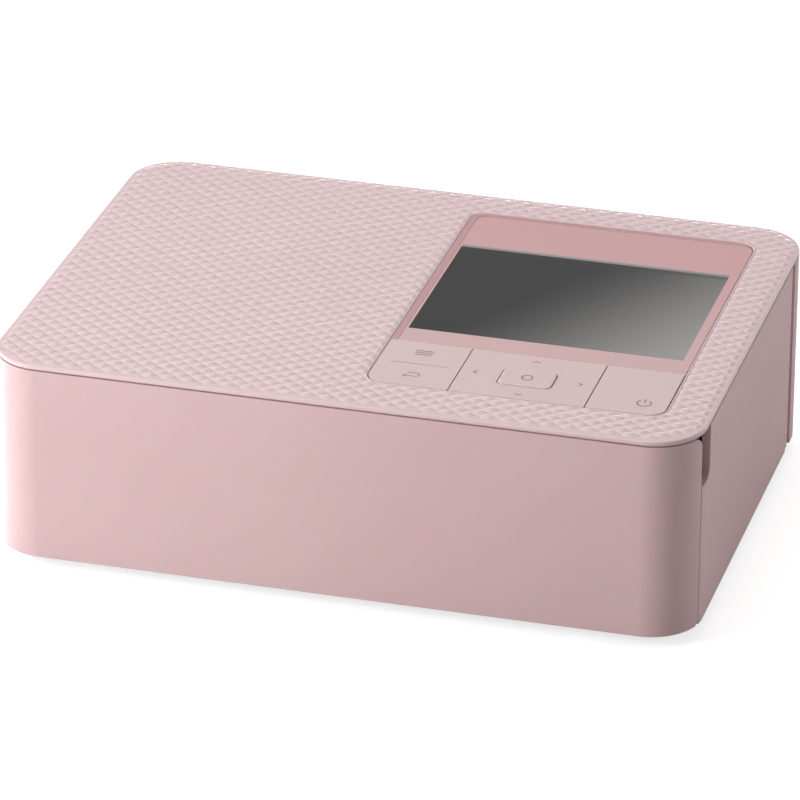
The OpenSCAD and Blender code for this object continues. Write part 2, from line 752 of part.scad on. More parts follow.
door_ears = [[skirt_z + 2, skirt_z + 2 + ear_h], [shell_z1 - 5 - ear_h, shell_z1 - 5]];
notch_r = 3;
module ink_door() {
    color(pink) difference() {
        union() {
            intersection() {
                shell_ring();
                block([inner_x1, door_y0, 0], [right + 1, door_hinge_y, body_h]);
            }
            rod_z(pan_z1 + 0.3, shell_z1, door_hinge_x, door_hinge_y, door_roll);
        }
        // clear of the base as the door swings
        block([door_hinge_x - 5, door_hinge_y - 1.5, 0], [right + 1, rear, pan_z1 + 0.3]);
        // finger notch, open at the top
        block([right - 8, door_y0 - 1, notch_z + notch_r], [right + 1, door_y0 + notch_w, body_h]);
        block([right - 8, door_y0 - 1, notch_z],
              [right + 1, door_y0 + notch_w - notch_r, notch_z + notch_r + e]);
        rod_x(right - 8, right + 1, door_y0 + notch_w - notch_r, notch_z + notch_r, notch_r);
        for (z = door_ears) {
            rod_z(z[0] - 0.3, z[1] + 0.3, door_hinge_x, door_hinge_y, ear_r + 0.3);
            block([door_hinge_x - 6, door_hinge_y - 6, z[0] - 0.3],
                  [door_hinge_x, door_hinge_y + 6, z[1] + 0.3]);
        }
        rod_z(0, body_h, door_hinge_x, door_hinge_y, pin_d / 2 + play);
    }
}

module door_hinge_pins() {
    color(steel) {
        rod_z(door_ears[0][0], door_ears[0][1] + 8, door_hinge_x, door_hinge_y, pin_d / 2);
        rod_z(door_ears[1][0] - 8, door_ears[1][1], door_hinge_x, door_hinge_y, pin_d / 2);
    }
}

// ---- inner frames ----

frame_x = inner_x1 - 6.7;
frame_top = kboard_z0 - 0.6;
module feed_frame() {
    color(grey) difference() {
        union() {
            block([-frame_x, frame_y0, pan_z1], [frame_x, frame_y0 + frame_t, frame_top]);
            // tunnel of the paper cassette
            difference() {
                block([slot_x0 - frame_t, frame_y0, slot_z0 - frame_t],
                      [slot_x1 + frame_t, frame_y0 + slot_d, slot_z1 + frame_t]);
                block([slot_x0, frame_y0 - 1, slot_z0], [slot_x1, frame_y0 + slot_d + 1, slot_z1]);
                block([slot_x0 + 8, pickup_y - 7, slot_z1 - 1], [slot_x1 - 8, pickup_y + 7, slot_z1 + 3]);
            }
            for (p = frame_posts) {
                rod_z(pan_z1, post_z1, p[0], p[1], post_r);
                block([p[0] - 0.6, frame_y0, pan_z1], [p[0] + 0.6, p[1], post_z1]);
            }
            // feet of the tunnel
            for (x = [slot_x0 + 10, (slot_x0 + slot_x1) / 2, slot_x1 - 10])
                block([x, frame_y0, pan_z1], [x + frame_t, frame_y0 + slot_d, slot_z0 - frame_t + e]);
        }
        block([slot_x0, frame_y0 - 1, slot_z0], [slot_x1, frame_y0 + frame_t + 1, slot_z1]);
        for (p = frame_posts) rod_z(0, post_z1 - 1, p[0], p[1], screw_r + 0.02);
    }
}

// outline that the ribbon cassette passes through
module cassette_outline(grow) {
    for (y = [takeup_y, supply_y]) translate([y, takeup_z]) circle(chamber_r + grow);
    translate([takeup_y, takeup_z - rail_half - grow]) square([spool_pitch, 2 * (rail_half + grow)]);
}

side_y1 = door_hinge_y - 2.5;
pocket_x0 = right - 7.5;
module side_frame() {
    color(grey) difference() {
        union() {
            difference() {
                block([inner_x1 - frame_t, frame_y0 + frame_t + 1.2, pan_z1],
                      [inner_x1, side_y1, frame_top]);
                along_x(inner_x1 - 5) linear_extrude(10) cassette_outline(0.8);
            }
            // ears of the door's hinge
            for (z = door_ears) {
                rod_z(z[0], z[1], door_hinge_x, door_hinge_y, ear_r);
                block([inner_x1 - frame_t, door_hinge_y - ear_r, z[0]],
                      [door_hinge_x, door_hinge_y - 0.3, z[1]]);
                block([inner_x1 - frame_t, side_y1 - 1, z[0]], [inner_x1, door_hinge_y - 0.3, z[1]]);
            }
            block([inner_x1 - frame_t, side_y1 - 6, frame_top - 5], [inner_x1, side_y1, door_ears[1][1]]);
            // wall of the finger pocket behind the notch
            block([pocket_x0, door_y0 - 0.2, notch_z - 1.5],
                  [right - wall - 0.8, door_y0 + notch_w + 1.5, notch_z]);
            block([pocket_x0 - 1, door_y0 - 0.2, notch_z - 1.5],
                  [pocket_x0, door_y0 + notch_w + 1.5, shell_z1 - 0.3]);
            block([pocket_x0, door_y0 + notch_w, notch_z],
                  [right - wall - 0.8, door_y0 + notch_w + 1.5, shell_z1 - 0.3]);
        }
        for (z = door_ears) rod_z(z[0] - 1, z[1] + 1, door_hinge_x, door_hinge_y, pin_d / 2 + 0.02);
    }
}

// side plates of the mechanism
module bores(x0, t, grow) {
    for (h = [[feed_y, feed_z, axle_r], [platen_y, platen_z, axle_r], [pinch_y, pinch_z, axle_r],
              [pickup_y, pickup_z, axle_r], [head_axis_y, head_axis_z, axle_r]])
        rod_x(x0 - 1, x0 + t + 1, h[0], h[1], h[2] + grow);
}

bar_r = 1.6;
bar_at = [[frame_y0 + 4, plate_z1 - 2], [plate_y1 - 5, pan_z1 + 5], [plate_y1 - 5, takeup_z - 8]];
tail_gap = 0.5;                 // over the fan
tail_past = 4;                  // behind the print head's pivot
// side plate with a tail at the top that holds the print head's pivot over the fan
module plate_blank(x0) {
    block([x0, plate_y0, plate_z0], [x0 + plate_t, plate_y1, plate_z1]);
    block([x0, platen_y, fan_z0 + fan_side + tail_gap], [x0 + plate_t, head_axis_y + tail_past, plate_z1]);
}

module left_plate() {
    x0 = plate_l;
    color("#b9bcc0") difference() {
        plate_blank(x0);
        bores(x0, plate_t, play);
        rod_x(x0 - 1, x0 + plate_t + 1, takeup_y, takeup_z, axle_r + play);
        rod_x(x0 - 1, x0 + plate_t + 1, ribbon_motor_y, ribbon_motor_z, motor_shaft_r + 0.5);
        rod_x(x0 - 1, x0 + plate_t + 1, feed_motor_y, feed_motor_z, motor_shaft_r + 0.5);
    }
    // stub axle of the idler gear
    color(steel) rod_x(gear_x - 0.8, x0 + e, idler_y, idler_z, axle_r);
}

module right_plate() {
    x0 = plate_r;
    color("#b9bcc0") difference() {
        plate_blank(x0);
        bores(x0, plate_t, play);
        along_x(x0 - 1) linear_extrude(plate_t + 2) {
            cassette_outline(0.6);
            translate([takeup_y, takeup_z]) square([spool_pitch, chamber_r + 1]);
        }
    }
}

module tie_bars() {
    color(steel) for (b = bar_at) rod_x(plate_l + plate_t, plate_r, b[0], b[1], bar_r);
}

guide_z1 = sheet_z - 0.6;
guide_t = 1.2;
rail_w = 3;
rail_h = 2;
guide_y0 = frame_y0 + slot_d + 1;
guide_y1 = rear - wall - 0.4;
// strips under the sheet, before, between and behind the two rollers
guide_strips = [[guide_y0, platen_y - platen_r - 1], [platen_y + platen_r + 0.3, feed_y - feed_r - 0.3],
                [feed_y + feed_r + 1, guide_y1]];
module paper_guide() {
    color(black) {
        for (g = guide_strips) block([slot_x0, g[0], guide_z1 - guide_t], [slot_x1 - 2, g[1], guide_z1]);
        for (x = [slot_x0 + 4, slot_x1 - 8]) {
            block([x, guide_y0, pan_z1], [x + rail_w, guide_y1 - 4, pan_z1 + rail_h]);
            for (g = guide_strips) {
                y = g[0] + 0.3 * (g[1] - g[0]);
                block([x, y, pan_z1], [x + rail_w, y + 1.5, guide_z1 - guide_t + e]);
            }
        }
    }
}

// ---- electronics ----

board_screw_r = 1.2;
board_screw_l = 4;              // of the thread under the board
board_screw_head = 1.2;
board_screw_y = [board_y0 + board_screw_in, board_y1 - board_screw_in];
module main_board() {
    color("seagreen") difference() {
        block([board_x0, board_y0, board_z1 - board_t], [board_x1, board_y1, board_z1]);
        for (y = board_screw_y) rod_z(0, body_h, board_x0 + board_screw_in, y, board_screw_r + 0.1);
    }
    // two chips: from the board's left edge, y, width, depth, height
    color(black) for (q = [[5.9, 14, 12, 12, 1.6], [7.9, 32, 8, 10, 1.4]])
        block([board_x0 + q[0], q[1], board_z1 - e],
              [board_x0 + q[0] + q[2], q[1] + q[3], board_z1 + q[4]]);
}

module board_screws() {
    color(steel) for (y = board_screw_y) {
        rod_z(board_z1 - board_t - board_screw_l, board_z1, board_x0 + board_screw_in, y, board_screw_r);
        rod_z(board_z1, board_z1 + board_screw_head, board_x0 + board_screw_in, y, 2 * board_screw_r);
    }
}

module card_socket() {
    x0 = left + wall + 0.2;
    color(steel) difference() {
        block([x0, card_y0 - 1, board_z1],
              [x0 + card_deep, card_y0 + card_w + 1, board_z1 + card_shell_h]);
        block([x0 - 1, card_y0, socket_z - card_h / 2 + 0.1],
              [x0 + card_deep - 2, card_y0 + card_w, socket_z + card_h / 2 - 0.1]);
    }
}

usb_back = 1.4;
tongue_t = 0.7;
module usb_socket() {
    x0 = left + wall + 0.2;
    color(steel) difference() {
        block([x0, usb_y - usb_w / 2, board_z1],
              [x0 + usb_deep, usb_y + usb_w / 2, socket_z + usb_h / 2]);
        block([x0 - 1, usb_y - usb_w / 2 + 0.5, socket_z - usb_h / 2 + 0.4],
              [x0 + usb_deep - usb_back, usb_y + usb_w / 2 - 0.5, socket_z + usb_h / 2 - 0.4]);
    }
    // tongue with the contacts
    color(black) block([x0 + 1, usb_y - usb_w / 3, socket_z - tongue_t / 2],
                       [x0 + usb_deep - usb_back + e, usb_y + usb_w / 3, socket_z + tongue_t / 2]);
}

module power_inlet() {
    y1 = rear - wall - 0.2;
    color(black) difference() {
        block([jack_x - jack_w / 2, y1 - jack_d, pan_z1 + rim_h],
              [jack_x + jack_w / 2, y1, jack_z + jack_w / 2]);
        rod_y(y1 - jack_d + 1.4, y1 + 1, jack_x, jack_z, jack_bore_r);
    }
    color(steel) rod_y(y1 - jack_d + 1, y1 - 0.8, jack_x, jack_z, 0.8);
}

// ---- fan ----

fan_bore = fan_side / 2 - 1.2;
hub_r = 5.5;
blade_n = 7;
blade_at = 4.6;                 // middle of the blades, from the front of the fan
blade_w = 3.6;
blade_t = 1;
blade_lean = 35;
module fan_housing() {
    y0 = fan_y1 - fan_t;
    color(black) difference() {
        block([fan_x0, y0, fan_z0], [fan_x0 + fan_side, fan_y1, fan_z0 + fan_side]);
        rod_y(y0 + 1.6, fan_y1 + 1, fan_cx, fan_cz, fan_bore);
        difference() {
            rod_y(y0 - 1, y0 + 2, fan_cx, fan_cz, fan_bore);
            rod_y(y0 - 2, y0 + 3, fan_cx, fan_cz, 5);
            block([fan_cx - 20, y0 - 2, fan_cz - 1], [fan_cx + 20, y0 + 3, fan_cz + 1]);
            block([fan_cx - 1, y0 - 2, fan_cz - 20], [fan_cx + 1, y0 + 3, fan_cz + 20]);
        }
        rod_y(y0 - 1, y0 + 2, fan_cx, fan_cz, 1 + play);
    }
    color(black) for (x = [fan_x0, fan_x0 + fan_side - 3])
        block([x, y0, pan_z1], [x + 3, fan_y1 - rim_t - 0.3, fan_z0 + e]);
}

module fan_rotor() {
    y0 = fan_y1 - fan_t;
    color("#3a3c40") {
        rod_y(y0 + 0.2, y0 + 3, fan_cx, fan_cz, 1);
        rod_y(y0 + 2.2, fan_y1 - 0.8, fan_cx, fan_cz, hub_r);
        for (k = [0:blade_n - 1]) translate([fan_cx, 0, fan_cz]) rotate([0, k * 360 / blade_n, 0])
            translate([hub_r - 0.7, y0 + blade_at, 0]) rotate([blade_lean, 0, 0])
                translate([0, -blade_w / 2, -blade_t / 2])
                    cube([fan_bore - hub_r - 0.3, blade_w, blade_t]);
    }
}

// ---- motors and gears ----

bracket_foot = 6;
bracket_y0 = ribbon_motor_y - motor_r - 1;
bracket_y1 = feed_motor_y + motor_r + 2;
motor_nose_r = 3;
motor_shaft_r = 1;
module motor_bracket() {
    x0 = motor_x1;
    color("#b9bcc0") difference() {
        union() {
            block([x0, bracket_y0, pan_z1], [x0 + bracket_t, bracket_y1, board_z1 - board_t]);
            block([x0 - bracket_foot, bracket_y0, pan_z1], [x0 + bracket_t, bracket_y1, pan_z1 + 0.8]);
        }
        rod_x(x0 - 1, x0 + bracket_t + 1, ribbon_motor_y, ribbon_motor_z, motor_nose_r + 1);
        rod_x(x0 - 1, x0 + bracket_t + 1, feed_motor_y, feed_motor_z, motor_nose_r + 1);
    }
}

module motor_can(y, z) {
    color(steel) rod_x(motor_x1 - motor_w, motor_x1, y, z, motor_r);
    color(steel) rod_x(motor_x1 - e, motor_x1 + 1, y, z, motor_nose_r);
}

module feed_motor() {
    motor_can(feed_motor_y, feed_motor_z);
}

module ribbon_motor() {
    motor_can(ribbon_motor_y, ribbon_motor_z);
}

module pinion(y, z, ph) {
    color("#e8e4da") gear(pinion_n, gear_x, y, z, ph, motor_shaft_r);
    color(steel) rod_x(motor_x1 + 1.2, gear_x + gear_w + 0.8, y, z, motor_shaft_r + e);
}

module feed_pinion() {
    pinion(feed_motor_y, feed_motor_z, feed_pinion_ph);
}

module ribbon_pinion() {
    pinion(ribbon_motor_y, ribbon_motor_z, ribbon_ph);
}

module idler_gear() {
    color("#e8e4da") gear(spool_n, gear_x, idler_y, idler_z, idler_ph, axle_r + play);
}

// roller with journals in both side plates
module roller(y, z, r, x_left, tint) {
    color(steel) rod_x(x_left, plate_r + plate_t + 0.4, y, z, axle_r);
    color(tint) rod_x(roll_x0, roll_x1, y, z, r);
}

module feed_roller() {
    roller(feed_y, feed_z, feed_r, gear_x, "#9aa0a6");
}

module feed_gear() {
    color("#e8e4da") gear(feed_n, gear_x, feed_y, feed_z, feed_ph, axle_r);
}

module platen_roller() {
    roller(platen_y, platen_z, platen_r, plate_l - 0.4, black);
}

module pinch_roller() {
    roller(pinch_y, pinch_z, pinch_r, plate_l - 0.4, "#9aa0a6");
}

module pickup_shaft() {
    color(steel) rod_x(gear_x, plate_r + plate_t + 0.4, pickup_y, pickup_z, axle_r);
}

tyre_w = 9;
tyre_out = 18;                  // middle of each tyre from the middle of the paper
module pickup_tyres() {
    middle = (slot_x0 + slot_x1) / 2;
    color(black) for (s = [-1, 1]) difference() {
        x0 = middle + s * tyre_out - tyre_w / 2;
        rod_x(x0, x0 + tyre_w, pickup_y, pickup_z, pickup_r);
        rod_x(x0 - 1, x0 + tyre_w + 1, pickup_y, pickup_z, axle_r);
    }
}

module pickup_gear() {
    color("#e8e4da") gear(pickup_n, gear_x, pickup_y, pickup_z, pickup_ph, axle_r);
}

// ---- ribbon cassette ----

case_x0 = plate_l + plate_t + 1.8;
case_x1 = inner_x1 - 0.6;
end_t = 2;
rail_half = 6;                  // half height of the rails between the chambers
grip_w = 4;
grip_in = 8;                    // ends of the grip's hollow from the spools' axes
core_r = 4;
journal_r = 2;
spool_x0 = case_x0 + end_t + 0.4;
spool_x1 = case_x1 - 9;
module spool(y, x_left) {
    color("#55585c") rod_x(spool_x0, spool_x1, y, takeup_z, core_r);
    color("#55585c") rod_x(x_left, spool_x0 + e, y, takeup_z, journal_r);
    color("#55585c") rod_x(spool_x1 - e, spool_x1 + end_t, y, takeup_z, journal_r);
}

module takeup_spool() {
    spool(takeup_y, case_x0 + 0.2);
    color(steel) rod_x(gear_x, case_x0 + 0.3, takeup_y, takeup_z, axle_r);
}

module takeup_gear() {
    color("#e8e4da") gear(spool_n, gear_x, takeup_y, takeup_z, spool_ph, axle_r);
}

module supply_spool() {
    spool(supply_y, case_x0 + 0.2);
    color("#26282c") difference() {
        rod_x(spool_x0 + 2, plate_r - 3, supply_y, takeup_z, ribbon_r);
        rod_x(spool_x0, plate_r, supply_y, takeup_z, core_r);
    }
}

module cassette_case() {
    color("#3c3e42") difference() {
        union() {
            for (y = [takeup_y, supply_y]) rod_x(case_x0, case_x1, y, takeup_z, chamber_r);
            // rails that join the chambers at both ends
            along_x(case_x0) linear_extrude(end_t) translate([takeup_y, takeup_z - rail_half])
                square([spool_pitch, 2 * rail_half]);
            along_x(plate_r + plate_t + 1.4) linear_extrude(case_x1 - plate_r - plate_t - 1.4)
                translate([takeup_y, takeup_z - rail_half])
                square([spool_pitch, 2 * rail_half]);
        }
        for (y = [takeup_y, supply_y]) {
            rod_x(spool_x0 - 0.4, spool_x1 + 0.4, y, takeup_z, chamber_r - case_t);
            rod_x(case_x0 - 1, case_x1 - 5, y, takeup_z, journal_r + play);
        }
        // slots where the ribbon leaves the chambers
        block([roll_x0 + 4, takeup_y, film_z - 0.6], [plate_r - 3, supply_y, film_z + film_t + 1.4]);
        // hollow of the grip
        block([case_x1 - grip_w, takeup_y + grip_in, takeup_z - grip_w],
              [case_x1 + 1, supply_y - grip_in, takeup_z + grip_w]);
    }
}

module ink_ribbon() {
    color("#4a3b30") block([roll_x0 + 5, takeup_y + 3, film_z],
                           [plate_r - 4, supply_y - 3, film_z + film_t]);
}

// ---- print head ----

arm_z0 = 49;
arm_t = 1.2;
arm_x0 = plate_l + 10;
arm_x1 = plate_r - 8;
head_t = 4;
arm_w = 10;                     // depth of the arm over the head
arm_wall = 1.6;
module head_arm() {
    color("#b9bcc0") difference() {
        union() {
            y0 = platen_y - arm_w / 2;
            block([arm_x0, y0, arm_z0], [arm_x1, head_axis_y + 2, arm_z0 + arm_t]);
            block([arm_x0, y0, head_z0 + head_t], [arm_x1, y0 + arm_wall, arm_z0 + e]);
            block([arm_x0, y0, head_z0 + head_t], [arm_x1, y0 + arm_w, head_z0 + head_t + arm_wall]);
            for (x = [arm_x0, arm_x1 - arm_wall])
                block([x, head_axis_y - 3.4, head_axis_z - 3],
                      [x + arm_wall, head_axis_y + 3, arm_z0 + e]);
        }
        rod_x(arm_x0 - 1, arm_x1 + 1, head_axis_y, head_axis_z, axle_r + play);
    }
}

module thermal_head() {
    color("#6d7276") block([arm_x0 + 1, platen_y - head_w / 2, head_z0],
                           [arm_x1 - 1, platen_y + head_w / 2, head_z0 + head_t]);
}

module head_pivot() {
    color(steel) rod_x(plate_l - 0.4, plate_r + plate_t + 0.4, head_axis_y, head_axis_z, axle_r);
}

base_pan();
foot_pads();
casing();
top_lid();
panel_tray();
display_window();
lcd_module();
control_board();
key_dome_sheet();
menu_key();
pad_gimbal();
nav_pad();
ok_key();
power_key();
front_cover();
cover_hinge_pins();
ink_door();
door_hinge_pins();
feed_frame();
side_frame();
left_plate();
right_plate();
tie_bars();
paper_guide();
main_board();
card_socket();
usb_socket();
power_inlet();
fan_housing();
fan_rotor();
motor_bracket();
feed_motor();
ribbon_motor();
feed_pinion();
ribbon_pinion();
idler_gear();
feed_roller();
feed_gear();
platen_roller();
pinch_roller();
pickup_shaft();
pickup_tyres();
pickup_gear();
takeup_spool();
takeup_gear();
supply_spool();
cassette_case();
ink_ribbon();
head_arm();
thermal_head();
head_pivot();
case_screws();
board_screws();
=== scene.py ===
import math

import bmesh
import bpy
from mathutils import Matrix, Vector


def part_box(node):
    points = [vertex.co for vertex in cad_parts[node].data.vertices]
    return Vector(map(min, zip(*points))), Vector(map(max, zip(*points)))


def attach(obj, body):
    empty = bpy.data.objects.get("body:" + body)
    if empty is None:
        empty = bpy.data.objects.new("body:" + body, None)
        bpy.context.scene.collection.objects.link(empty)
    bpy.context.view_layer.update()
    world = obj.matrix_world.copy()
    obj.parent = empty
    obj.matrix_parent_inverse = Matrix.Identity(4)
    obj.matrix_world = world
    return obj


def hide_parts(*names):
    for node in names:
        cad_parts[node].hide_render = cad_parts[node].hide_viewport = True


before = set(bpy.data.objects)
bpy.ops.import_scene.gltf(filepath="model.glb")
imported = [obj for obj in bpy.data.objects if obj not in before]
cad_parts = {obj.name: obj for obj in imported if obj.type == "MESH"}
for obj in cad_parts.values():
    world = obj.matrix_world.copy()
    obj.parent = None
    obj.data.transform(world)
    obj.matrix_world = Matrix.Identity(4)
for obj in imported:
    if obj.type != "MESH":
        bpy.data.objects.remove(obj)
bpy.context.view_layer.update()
bpy.context.scene.view_settings.view_transform = "Standard"

# Camera: a long lens on a stand, a little to the right of the printer's middle and 26
# degrees above it. Place and aim come from the body's straight edges in the photograph.
CAMERA_AT = Vector((0.3576, -1.3063, 0.6787))
CAMERA_AHEAD = Vector((-0.2388, 0.8689, -0.4335)).normalized()
CAMERA_RIGHT = Vector((0.9637, 0.2671, 0.0045))
CAMERA_REACH = 20.0
LENS_MM = 262.48
SENSOR_MM = 36.0

camera = bpy.data.objects.new("camera", bpy.data.cameras.new("camera"))
bpy.context.collection.objects.link(camera)
camera.data.lens = LENS_MM
camera.data.sensor_width = SENSOR_MM
camera.data.clip_end = CAMERA_REACH
right = (CAMERA_RIGHT - CAMERA_AHEAD * CAMERA_RIGHT.dot(CAMERA_AHEAD)).normalized()
up = right.cross(CAMERA_AHEAD)
turn = Matrix((right, up, -CAMERA_AHEAD)).transposed()
camera.matrix_world = Matrix.Translation(CAMERA_AT) @ turn.to_4x4()
bpy.context.scene.camera = camera

# Studio: a pale paper sweep under the printer, a soft lamp close by at the left and front,
# one overhead and one far at the right. The room is grey, lighter at the left, with a low
# bright strip behind, and the paper's left side shows in glossy faces as a pale sheen.
FLOOR_SIZE = 8.0
FLOOR_WHITE = "#c4c3c3"
FLOOR_GLOW = 0.72
SHEEN_X = (-0.16, 0.05)
SHEEN = 3.6
ROOM_X = (-0.6, 0.7)
ROOM_LIGHT = (0.50, 0.20)
STRIP_RISE = (0.07, 0.15)
STRIP_LIGHT = 4.0
STRIP_BEHIND = 0.8
STRIP_X = (-0.45, -0.10)
STRIP_LEFT_SHARE = 0.25
LAMPS = {
    "lamp_left": dict(place=(-0.58, -0.52, 0.36), aim=(-0.05, -0.05, 0.03), side=0.35, watts=5.4),
    "lamp_above": dict(place=(-0.25, 0.35, 1.5), aim=(0.0, 0.0, 0.03), side=1.2, watts=9.0),
    "lamp_right": dict(place=(1.2, 0.9, 0.45), aim=(0.05, 0.0, 0.03), side=0.6, watts=5.6),
}


def linear(code):
    """sRGB hex code to linear colour with alpha."""
    parts = [int(code[i:i + 2], 16) / 255 for i in (1, 3, 5)]
    light = [v / 12.92 if v <= 0.04045 else ((v + 0.055) / 1.055) ** 2.4 for v in parts]
    return (*light, 1.0)


def add(tree, kind, inputs=None, **settings):
    """One node with its settings and links: an input is a value, or a socket to link."""
    node = tree.nodes.new(kind)
    for name, value in settings.items():
        setattr(node, name, value)
    for name, value in (inputs or {}).items():
        socket = node.inputs[name]
        if isinstance(value, bpy.types.NodeSocket):
            tree.links.new(value, socket)
        else:
            socket.default_value = value
    return node


def blank_material(name):
    material = bpy.data.materials.new(name)
    material.use_nodes = True
    material.node_tree.nodes.clear()
    return material


def soft_lamp(name, place, aim, side, watts):
    """A square soft lamp. Glossy faces don't mirror it, so no hard white patch shows."""
    data = bpy.data.lights.new(name, "AREA")
    data.shape = "RECTANGLE"
    data.size = data.size_y = side
    data.energy = watts
    lamp = bpy.data.objects.new(name, data)
    lamp.location = place
    lamp.rotation_euler = (Vector(aim) - Vector(place)).to_track_quat("-Z", "Y").to_euler()
    lamp.visible_glossy = False
    bpy.context.collection.objects.link(lamp)


world = bpy.data.worlds.new("studio")
bpy.context.scene.world = world
world.use_nodes = True
tree = world.node_tree
tree.nodes.clear()
way = add(tree, "ShaderNodeTexCoord")
split = add(tree, "ShaderNodeSeparateXYZ", {0: way.outputs["Generated"]})
across = add(tree, "ShaderNodeMapRange", {
    0: split.outputs[0], 1: ROOM_X[0], 2: ROOM_X[1], 3: ROOM_LIGHT[0], 4: ROOM_LIGHT[1]})
low_strip = add(tree, "ShaderNodeMapRange", {
    0: split.outputs[2], 1: STRIP_RISE[0], 2: STRIP_RISE[1], 3: STRIP_LIGHT, 4: 0.0})
behind = add(tree, "ShaderNodeMapRange", {
    0: split.outputs[1], 1: 0.0, 2: STRIP_BEHIND, 3: 0.0, 4: 1.0})
rightward = add(tree, "ShaderNodeMapRange", {
    0: split.outputs[0], 1: STRIP_X[0], 2: STRIP_X[1], 3: STRIP_LEFT_SHARE, 4: 1.0})
share = add(tree, "ShaderNodeMath", {
    0: behind.outputs[0], 1: rightward.outputs[0]}, operation="MULTIPLY")
strip = add(tree, "ShaderNodeMath", {
    0: low_strip.outputs[0], 1: share.outputs[0]}, operation="MULTIPLY")
room = add(tree, "ShaderNodeMath", {0: across.outputs[0], 1: strip.outputs[0]}, operation="ADD")
seen = add(tree, "ShaderNodeLightPath")
level = add(tree, "ShaderNodeMix", {0: seen.outputs["Is Camera Ray"], 2: room.outputs[0], 3: 1.0})
sky = add(tree, "ShaderNodeBackground", {0: (1, 1, 1, 1), 1: level.outputs[0]})
add(tree, "ShaderNodeOutputWorld", {0: sky.outputs[0]})

half = FLOOR_SIZE / 2
sheet = bpy.data.meshes.new("floor")
sheet.from_pydata([(-half, -half, 0), (half, -half, 0), (half, half, 0), (-half, half, 0)],
                  [], [(0, 1, 2, 3)])
floor = bpy.data.objects.new("floor", sheet)
bpy.context.collection.objects.link(floor)
paper = blank_material("paper_sweep")
tree = paper.node_tree
seen = add(tree, "ShaderNodeLightPath")
place = add(tree, "ShaderNodeTexCoord")
axes = add(tree, "ShaderNodeSeparateXYZ", {0: place.outputs["Object"]})
side = add(tree, "ShaderNodeMapRange", {
    0: axes.outputs[0], 1: SHEEN_X[0], 2: SHEEN_X[1], 3: SHEEN, 4: 0.0})
sheen = add(tree, "ShaderNodeMath", {
    0: seen.outputs["Is Glossy Ray"], 1: side.outputs[0]}, operation="MULTIPLY")
base = add(tree, "ShaderNodeMath", {
    0: seen.outputs["Is Camera Ray"], 1: FLOOR_GLOW}, operation="MULTIPLY")
glow = add(tree, "ShaderNodeMath", {0: base.outputs[0], 1: sheen.outputs[0]}, operation="ADD")
dull = add(tree, "ShaderNodeBsdfDiffuse", {"Color": linear(FLOOR_WHITE)})
shine = add(tree, "ShaderNodeEmission", {"Color": (1, 1, 1, 1), "Strength": glow.outputs[0]})
both = add(tree, "ShaderNodeAddShader", {0: dull.outputs[0], 1: shine.outputs[0]})
add(tree, "ShaderNodeOutputMaterial", {0: both.outputs[0]})
floor.data.materials.append(paper)

for name, lamp in LAMPS.items():
    soft_lamp(name, **lamp)

# Front cover, casing and side door: injection-moulded ABS shells of 2.2 mm, satin, with
# a very fine spark-eroded grain, and their edges broken by a small radius. The cover
# hangs on two steel pins at its lower edge, and the door on two at its rear edge.
MM = 0.001
SHELL_PINK = ("#d7b9ba", "#d0afb1")
SHELL_EDGE_MM = 0.3
COVER_EDGE_MM = 0.35
SHELL_ROUGH = 0.42
# The real grain is about 0.05 mm wide, too fine to show, so it is drawn at 0.35 mm. The
# plastic scatters light below its face, red light the farthest.
CLOUD_W = 55.5 * MM
GLOSS_DRIFT = 0.04
GRAIN_W = 0.35 * MM
GRAIN_H = 0.02 * MM
BLEED_REACH = (1.0, 0.3, 0.25)
BLEED_DEPTH = 1.6 * MM
WELD = 2e-6
FLAT_TURN = math.radians(0.6)
EDGE_TURN = math.radians(30)
FLATS_WEIGHT = 80


def moulded(name, tints, rough, grain=0.12, ior=1.5, coat=0.0, bleed=0.25):
    """Moulded plastic: a satin face with slow clouds of tint and gloss, and a fine grain."""
    material = blank_material(name)
    tree = material.node_tree
    place = add(tree, "ShaderNodeTexCoord").outputs["Object"]
    cloud = add(tree, "ShaderNodeTexNoise", {"Vector": place, "Scale": 1 / CLOUD_W, "Detail": 3.0})
    tint = add(tree, "ShaderNodeMix", {
        0: cloud.outputs[0], 6: linear(tints[0]), 7: linear(tints[1])}, data_type="RGBA")
    gloss = add(tree, "ShaderNodeMapRange", {
        0: cloud.outputs[0], 3: rough - GLOSS_DRIFT, 4: rough + GLOSS_DRIFT})
    fine = add(tree, "ShaderNodeTexNoise", {"Vector": place, "Scale": 1 / GRAIN_W, "Detail": 2.0})
    relief = add(tree, "ShaderNodeBump", {
        "Strength": grain, "Distance": GRAIN_H, "Height": fine.outputs[0]})
    body = add(tree, "ShaderNodeBsdfPrincipled", {
        "Base Color": tint.outputs[2], "Roughness": gloss.outputs[0], "IOR": ior,
        "Subsurface Weight": bleed, "Subsurface Radius": BLEED_REACH,
        "Subsurface Scale": BLEED_DEPTH, "Coat Weight": coat, "Normal": relief.outputs[0]})
    add(tree, "ShaderNodeOutputMaterial", {0: body.outputs[0]})
    return material


def give_material(mesh, material):
    """One material for every face of a mesh."""
    mesh.materials.clear()
    mesh.materials.append(material)
    for face in mesh.polygons:
        face.material_index = 0


def mesh_piece(name, mesh, material, body):
    """A new piece of the printer, with its place in its mesh."""
    piece = bpy.data.objects.new(name, mesh)
    bpy.context.collection.objects.link(piece)
    give_material(mesh, material)
    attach(piece, body)
    return piece


def plain_mesh(piece):
    """A mesh with the work of the piece's modifiers in it. The piece itself goes."""
    ready = piece.evaluated_get(bpy.context.evaluated_depsgraph_get())
    mesh = bpy.data.meshes.new_from_object(ready)
    bpy.data.objects.remove(piece)
    return mesh


